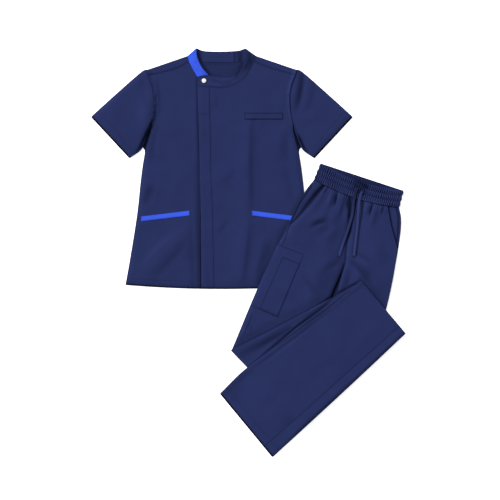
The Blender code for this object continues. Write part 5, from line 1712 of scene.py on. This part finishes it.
# %% Left lower leg
leg_reach = np.clip((leg_down - LEG_UNDER_FROM) / (1 - LEG_UNDER_FROM), 0, 1)[:, None, None]
leg_reach = leg_reach * UNDER_SHOWS * unit(leg_xy[-1, 0] - leg_xy[-2, 0])
leg_top, leg_under = raised(leg_xy, leg_high), raised(leg_xy + leg_reach, leg_low)
strip_top, strip_under = raised(strip_xy, strip_high), raised(strip_xy + leg_reach, strip_low)
near_turn = fold_points(leg_xy[:, 0], leg_xy[:, 4], leg_high[:, 0], leg_low[:, 0])
far_turn = fold_points(strip_xy[:, -1], strip_xy[:, -4], strip_high[:, -1], strip_low[:, -1])
front_loop = np.stack(near_turn[:2][::-1] + columns_of(leg_top), axis=1)
back_columns = columns_of(strip_top) + far_turn + columns_of(strip_under)[::-1]
back_loop = np.stack(back_columns + columns_of(leg_under)[-2::-1] + near_turn[:1:-1], axis=1)
near_cut, far_cut = np.repeat(leg_plan[:, :1], 2, axis=1), np.repeat(strip_plan[:, -1:], 4, axis=1)
front_cut = np.concatenate([near_cut, leg_plan], axis=1)
back_cut = np.concatenate([strip_plan, far_cut, strip_plan[:, ::-1], leg_plan[:, -2::-1], near_cut], axis=1)
# painted shade near the upper layer's upper edge and its hem corner, and over the under layer where it shows
front_shade = shaded(front_cut, [
    shade_along(TOP_UPPER[:4], 5.0, 0.26, 11.0), [(-131, 630, 7, 0.26), (-186, 728, 12, 0.26)],
    [(-160, 640, 16, 0.10), (-150, 720, 20, 0.14)]])
back_shade = np.zeros(back_loop.shape[:2])
back_shade[leg_down > LEG_UNDER_FROM, len(strip_over) + len(far_turn):] = UNDER_SHADE
leg_area, strip_area = sheet_area(leg_plan * MM), sheet_area(strip_plan * MM)
front_flat = (leg_panel.width * MM, leg_panel.length * MM)
back_flat = ((leg_panel.width + 2 * strip_panel.width) * MM, leg_panel.length * MM)
make_sheet("lower_leg_front", front_loop, front_cut, hem, front_flat, leg_area,
           shade=front_shade, edges={"end": 0.6, "right": 0.40, "start": 0.25})
make_sheet("lower_leg_back", back_loop, back_cut, hem, back_flat, leg_area + 2 * strip_area,
           shade=back_shade, edges={"end": 0.9, "left": 0.30, "start": 0.3})
stitch_rows["navy"] += [sewn_path(top, *hem[0])[::-1] for top in (leg_top, strip_top)]

# %% [markdown]
# The stitching is real geometry too: every stitch is a small capsule of thread that lies in its seam. The
# thread matches the cloth, so it shows as a fine row of dashes. All stitches of one colour are one mesh.

# %% Stitches
STITCH, STITCH_LENGTH = 3.2 * MM, 2.4 * MM
THREAD_WIDTH, THREAD_HEIGHT, THREAD_SUNK = 0.6 * MM, 0.36 * MM, 0.08 * MM
# columns: place along the stitch, share of its width
STITCH_RINGS = [(-0.5, 0.35), (-0.3, 1.0), (0.3, 1.0), (0.5, 0.35)]
STITCH_SIDES = 6


def stitch_places(line):
    """The middle and the way of each stitch along a line."""
    run = run_along(line)
    along = np.arange(STITCH, run[-1] - STITCH / 2, STITCH)
    ends = [np.stack([np.interp(along + off, run, line[:, k]) for k in range(3)], axis=-1)
            for off in (-STITCH_LENGTH / 2, STITCH_LENGTH / 2)]
    return (ends[0] + ends[1]) / 2, ends[1] - ends[0]


def make_stitches(name, lines, finish):
    """One mesh of many small capsules."""
    places, ways = (np.concatenate(part)[:, None] for part in zip(*(stitch_places(line) for line in lines)))
    side = level_side(ways[:, 0])[:, None]
    turn = np.linspace(0, 2 * math.pi, STITCH_SIDES, endpoint=False)
    rings = []
    for along, share in STITCH_RINGS:
        ring = places + along * ways + THREAD_WIDTH / 2 * share * np.cos(turn)[:, None] * side
        ring[..., 2] += THREAD_HEIGHT / 2 * share * np.sin(turn) + THREAD_HEIGHT / 2 - THREAD_SUNK
        rings.append(ring)
    points = np.stack(rings, axis=1).reshape(-1, 3)
    stitches = np.arange(len(points)).reshape(-1, len(STITCH_RINGS), STITCH_SIDES)
    obj = mesh_object(name, points, [face for stitch in stitches for face in tube_faces(stitch)])
    obj.data.materials.append(finish)
    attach(obj, "root")
    print(f"{name}: {len(stitches)} stitches, {len(obj.data.polygons)} faces")


make_stitches("navy_stitches", stitch_rows["navy"], navy_thread)
make_stitches("accent_stitches", stitch_rows["accent"], accent_thread)

# %% [markdown]
# ## Table and light
# A white table that glows a little, as a light table does, so that shadows on it stay pale. The main light
# comes in low from the upper left. It has to be low: on flat cloth, nothing else brings out the creases. An
# even light from all round fills in the rest.

# %% Table
TABLE_WHITE, TABLE_TONE, HAZE = (0.86, 0.86, 0.87), 0.995, 0.3
TABLE_GLOW = 0.62
TABLE_SIZE, TABLE_DROP = 14, 0.4 * MM  # it lies this far below the lowest cloth

bpy.ops.object.select_all(action="DESELECT")
bpy.ops.mesh.primitive_plane_add(size=TABLE_SIZE, location=(0, 0, -TABLE_DROP))
table = bpy.context.object
table.name = "table"
table_finish = Finish("table_white", Roughness=0.9, Specular_IOR_Level=0.0, Emission_Strength=TABLE_GLOW,
                      Emission_Color=(1.0, 1.0, 1.0, 1.0))
haze = table_finish.noise(table_finish.object_place(), HAZE)
table_finish.feed(Base_Color=table_finish.mix(haze, toned(TABLE_WHITE, TABLE_TONE), TABLE_WHITE))
table.data.materials.append(table_finish.material)
table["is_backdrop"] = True
print("table", [round(size, 1) for size in table.dimensions])

# %% Light
KEY_FROM = (-0.62, 0.62, 0.52)  # the way to the main light
KEY_POWER, KEY_SPREAD = 6.2, math.radians(40)
FILL = 0.44

key_data = bpy.data.lights.new("window", "SUN")
key_data.energy, key_data.angle = KEY_POWER, KEY_SPREAD
key = bpy.data.objects.new("window", key_data)
key.location = KEY_FROM
key.rotation_euler = Vector(KEY_FROM).to_track_quat("Z", "Y").to_euler()
bpy.context.scene.collection.objects.link(key)

room = bpy.data.worlds.new("room")
room.use_nodes = True
room.node_tree.nodes["Background"].inputs["Color"].default_value = (1.0, 1.0, 1.0, 1.0)
room.node_tree.nodes["Background"].inputs["Strength"].default_value = FILL
bpy.context.scene.world = room
bpy.context.scene.view_settings.view_transform = "Standard"
print("main light", KEY_POWER, "fill", FILL)

# %% [markdown]
# Last, the box of everything that was made is printed beside the solids' box.

# %% Size and finish
VISUAL_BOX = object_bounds()
for axis, low, high, solid_low, solid_high in zip("xyz", *VISUAL_BOX, *SOLID_BOX):
    print(axis, f"visual {low:.4f} to {high:.4f}, solid {solid_low:.4f} to {solid_high:.4f}")
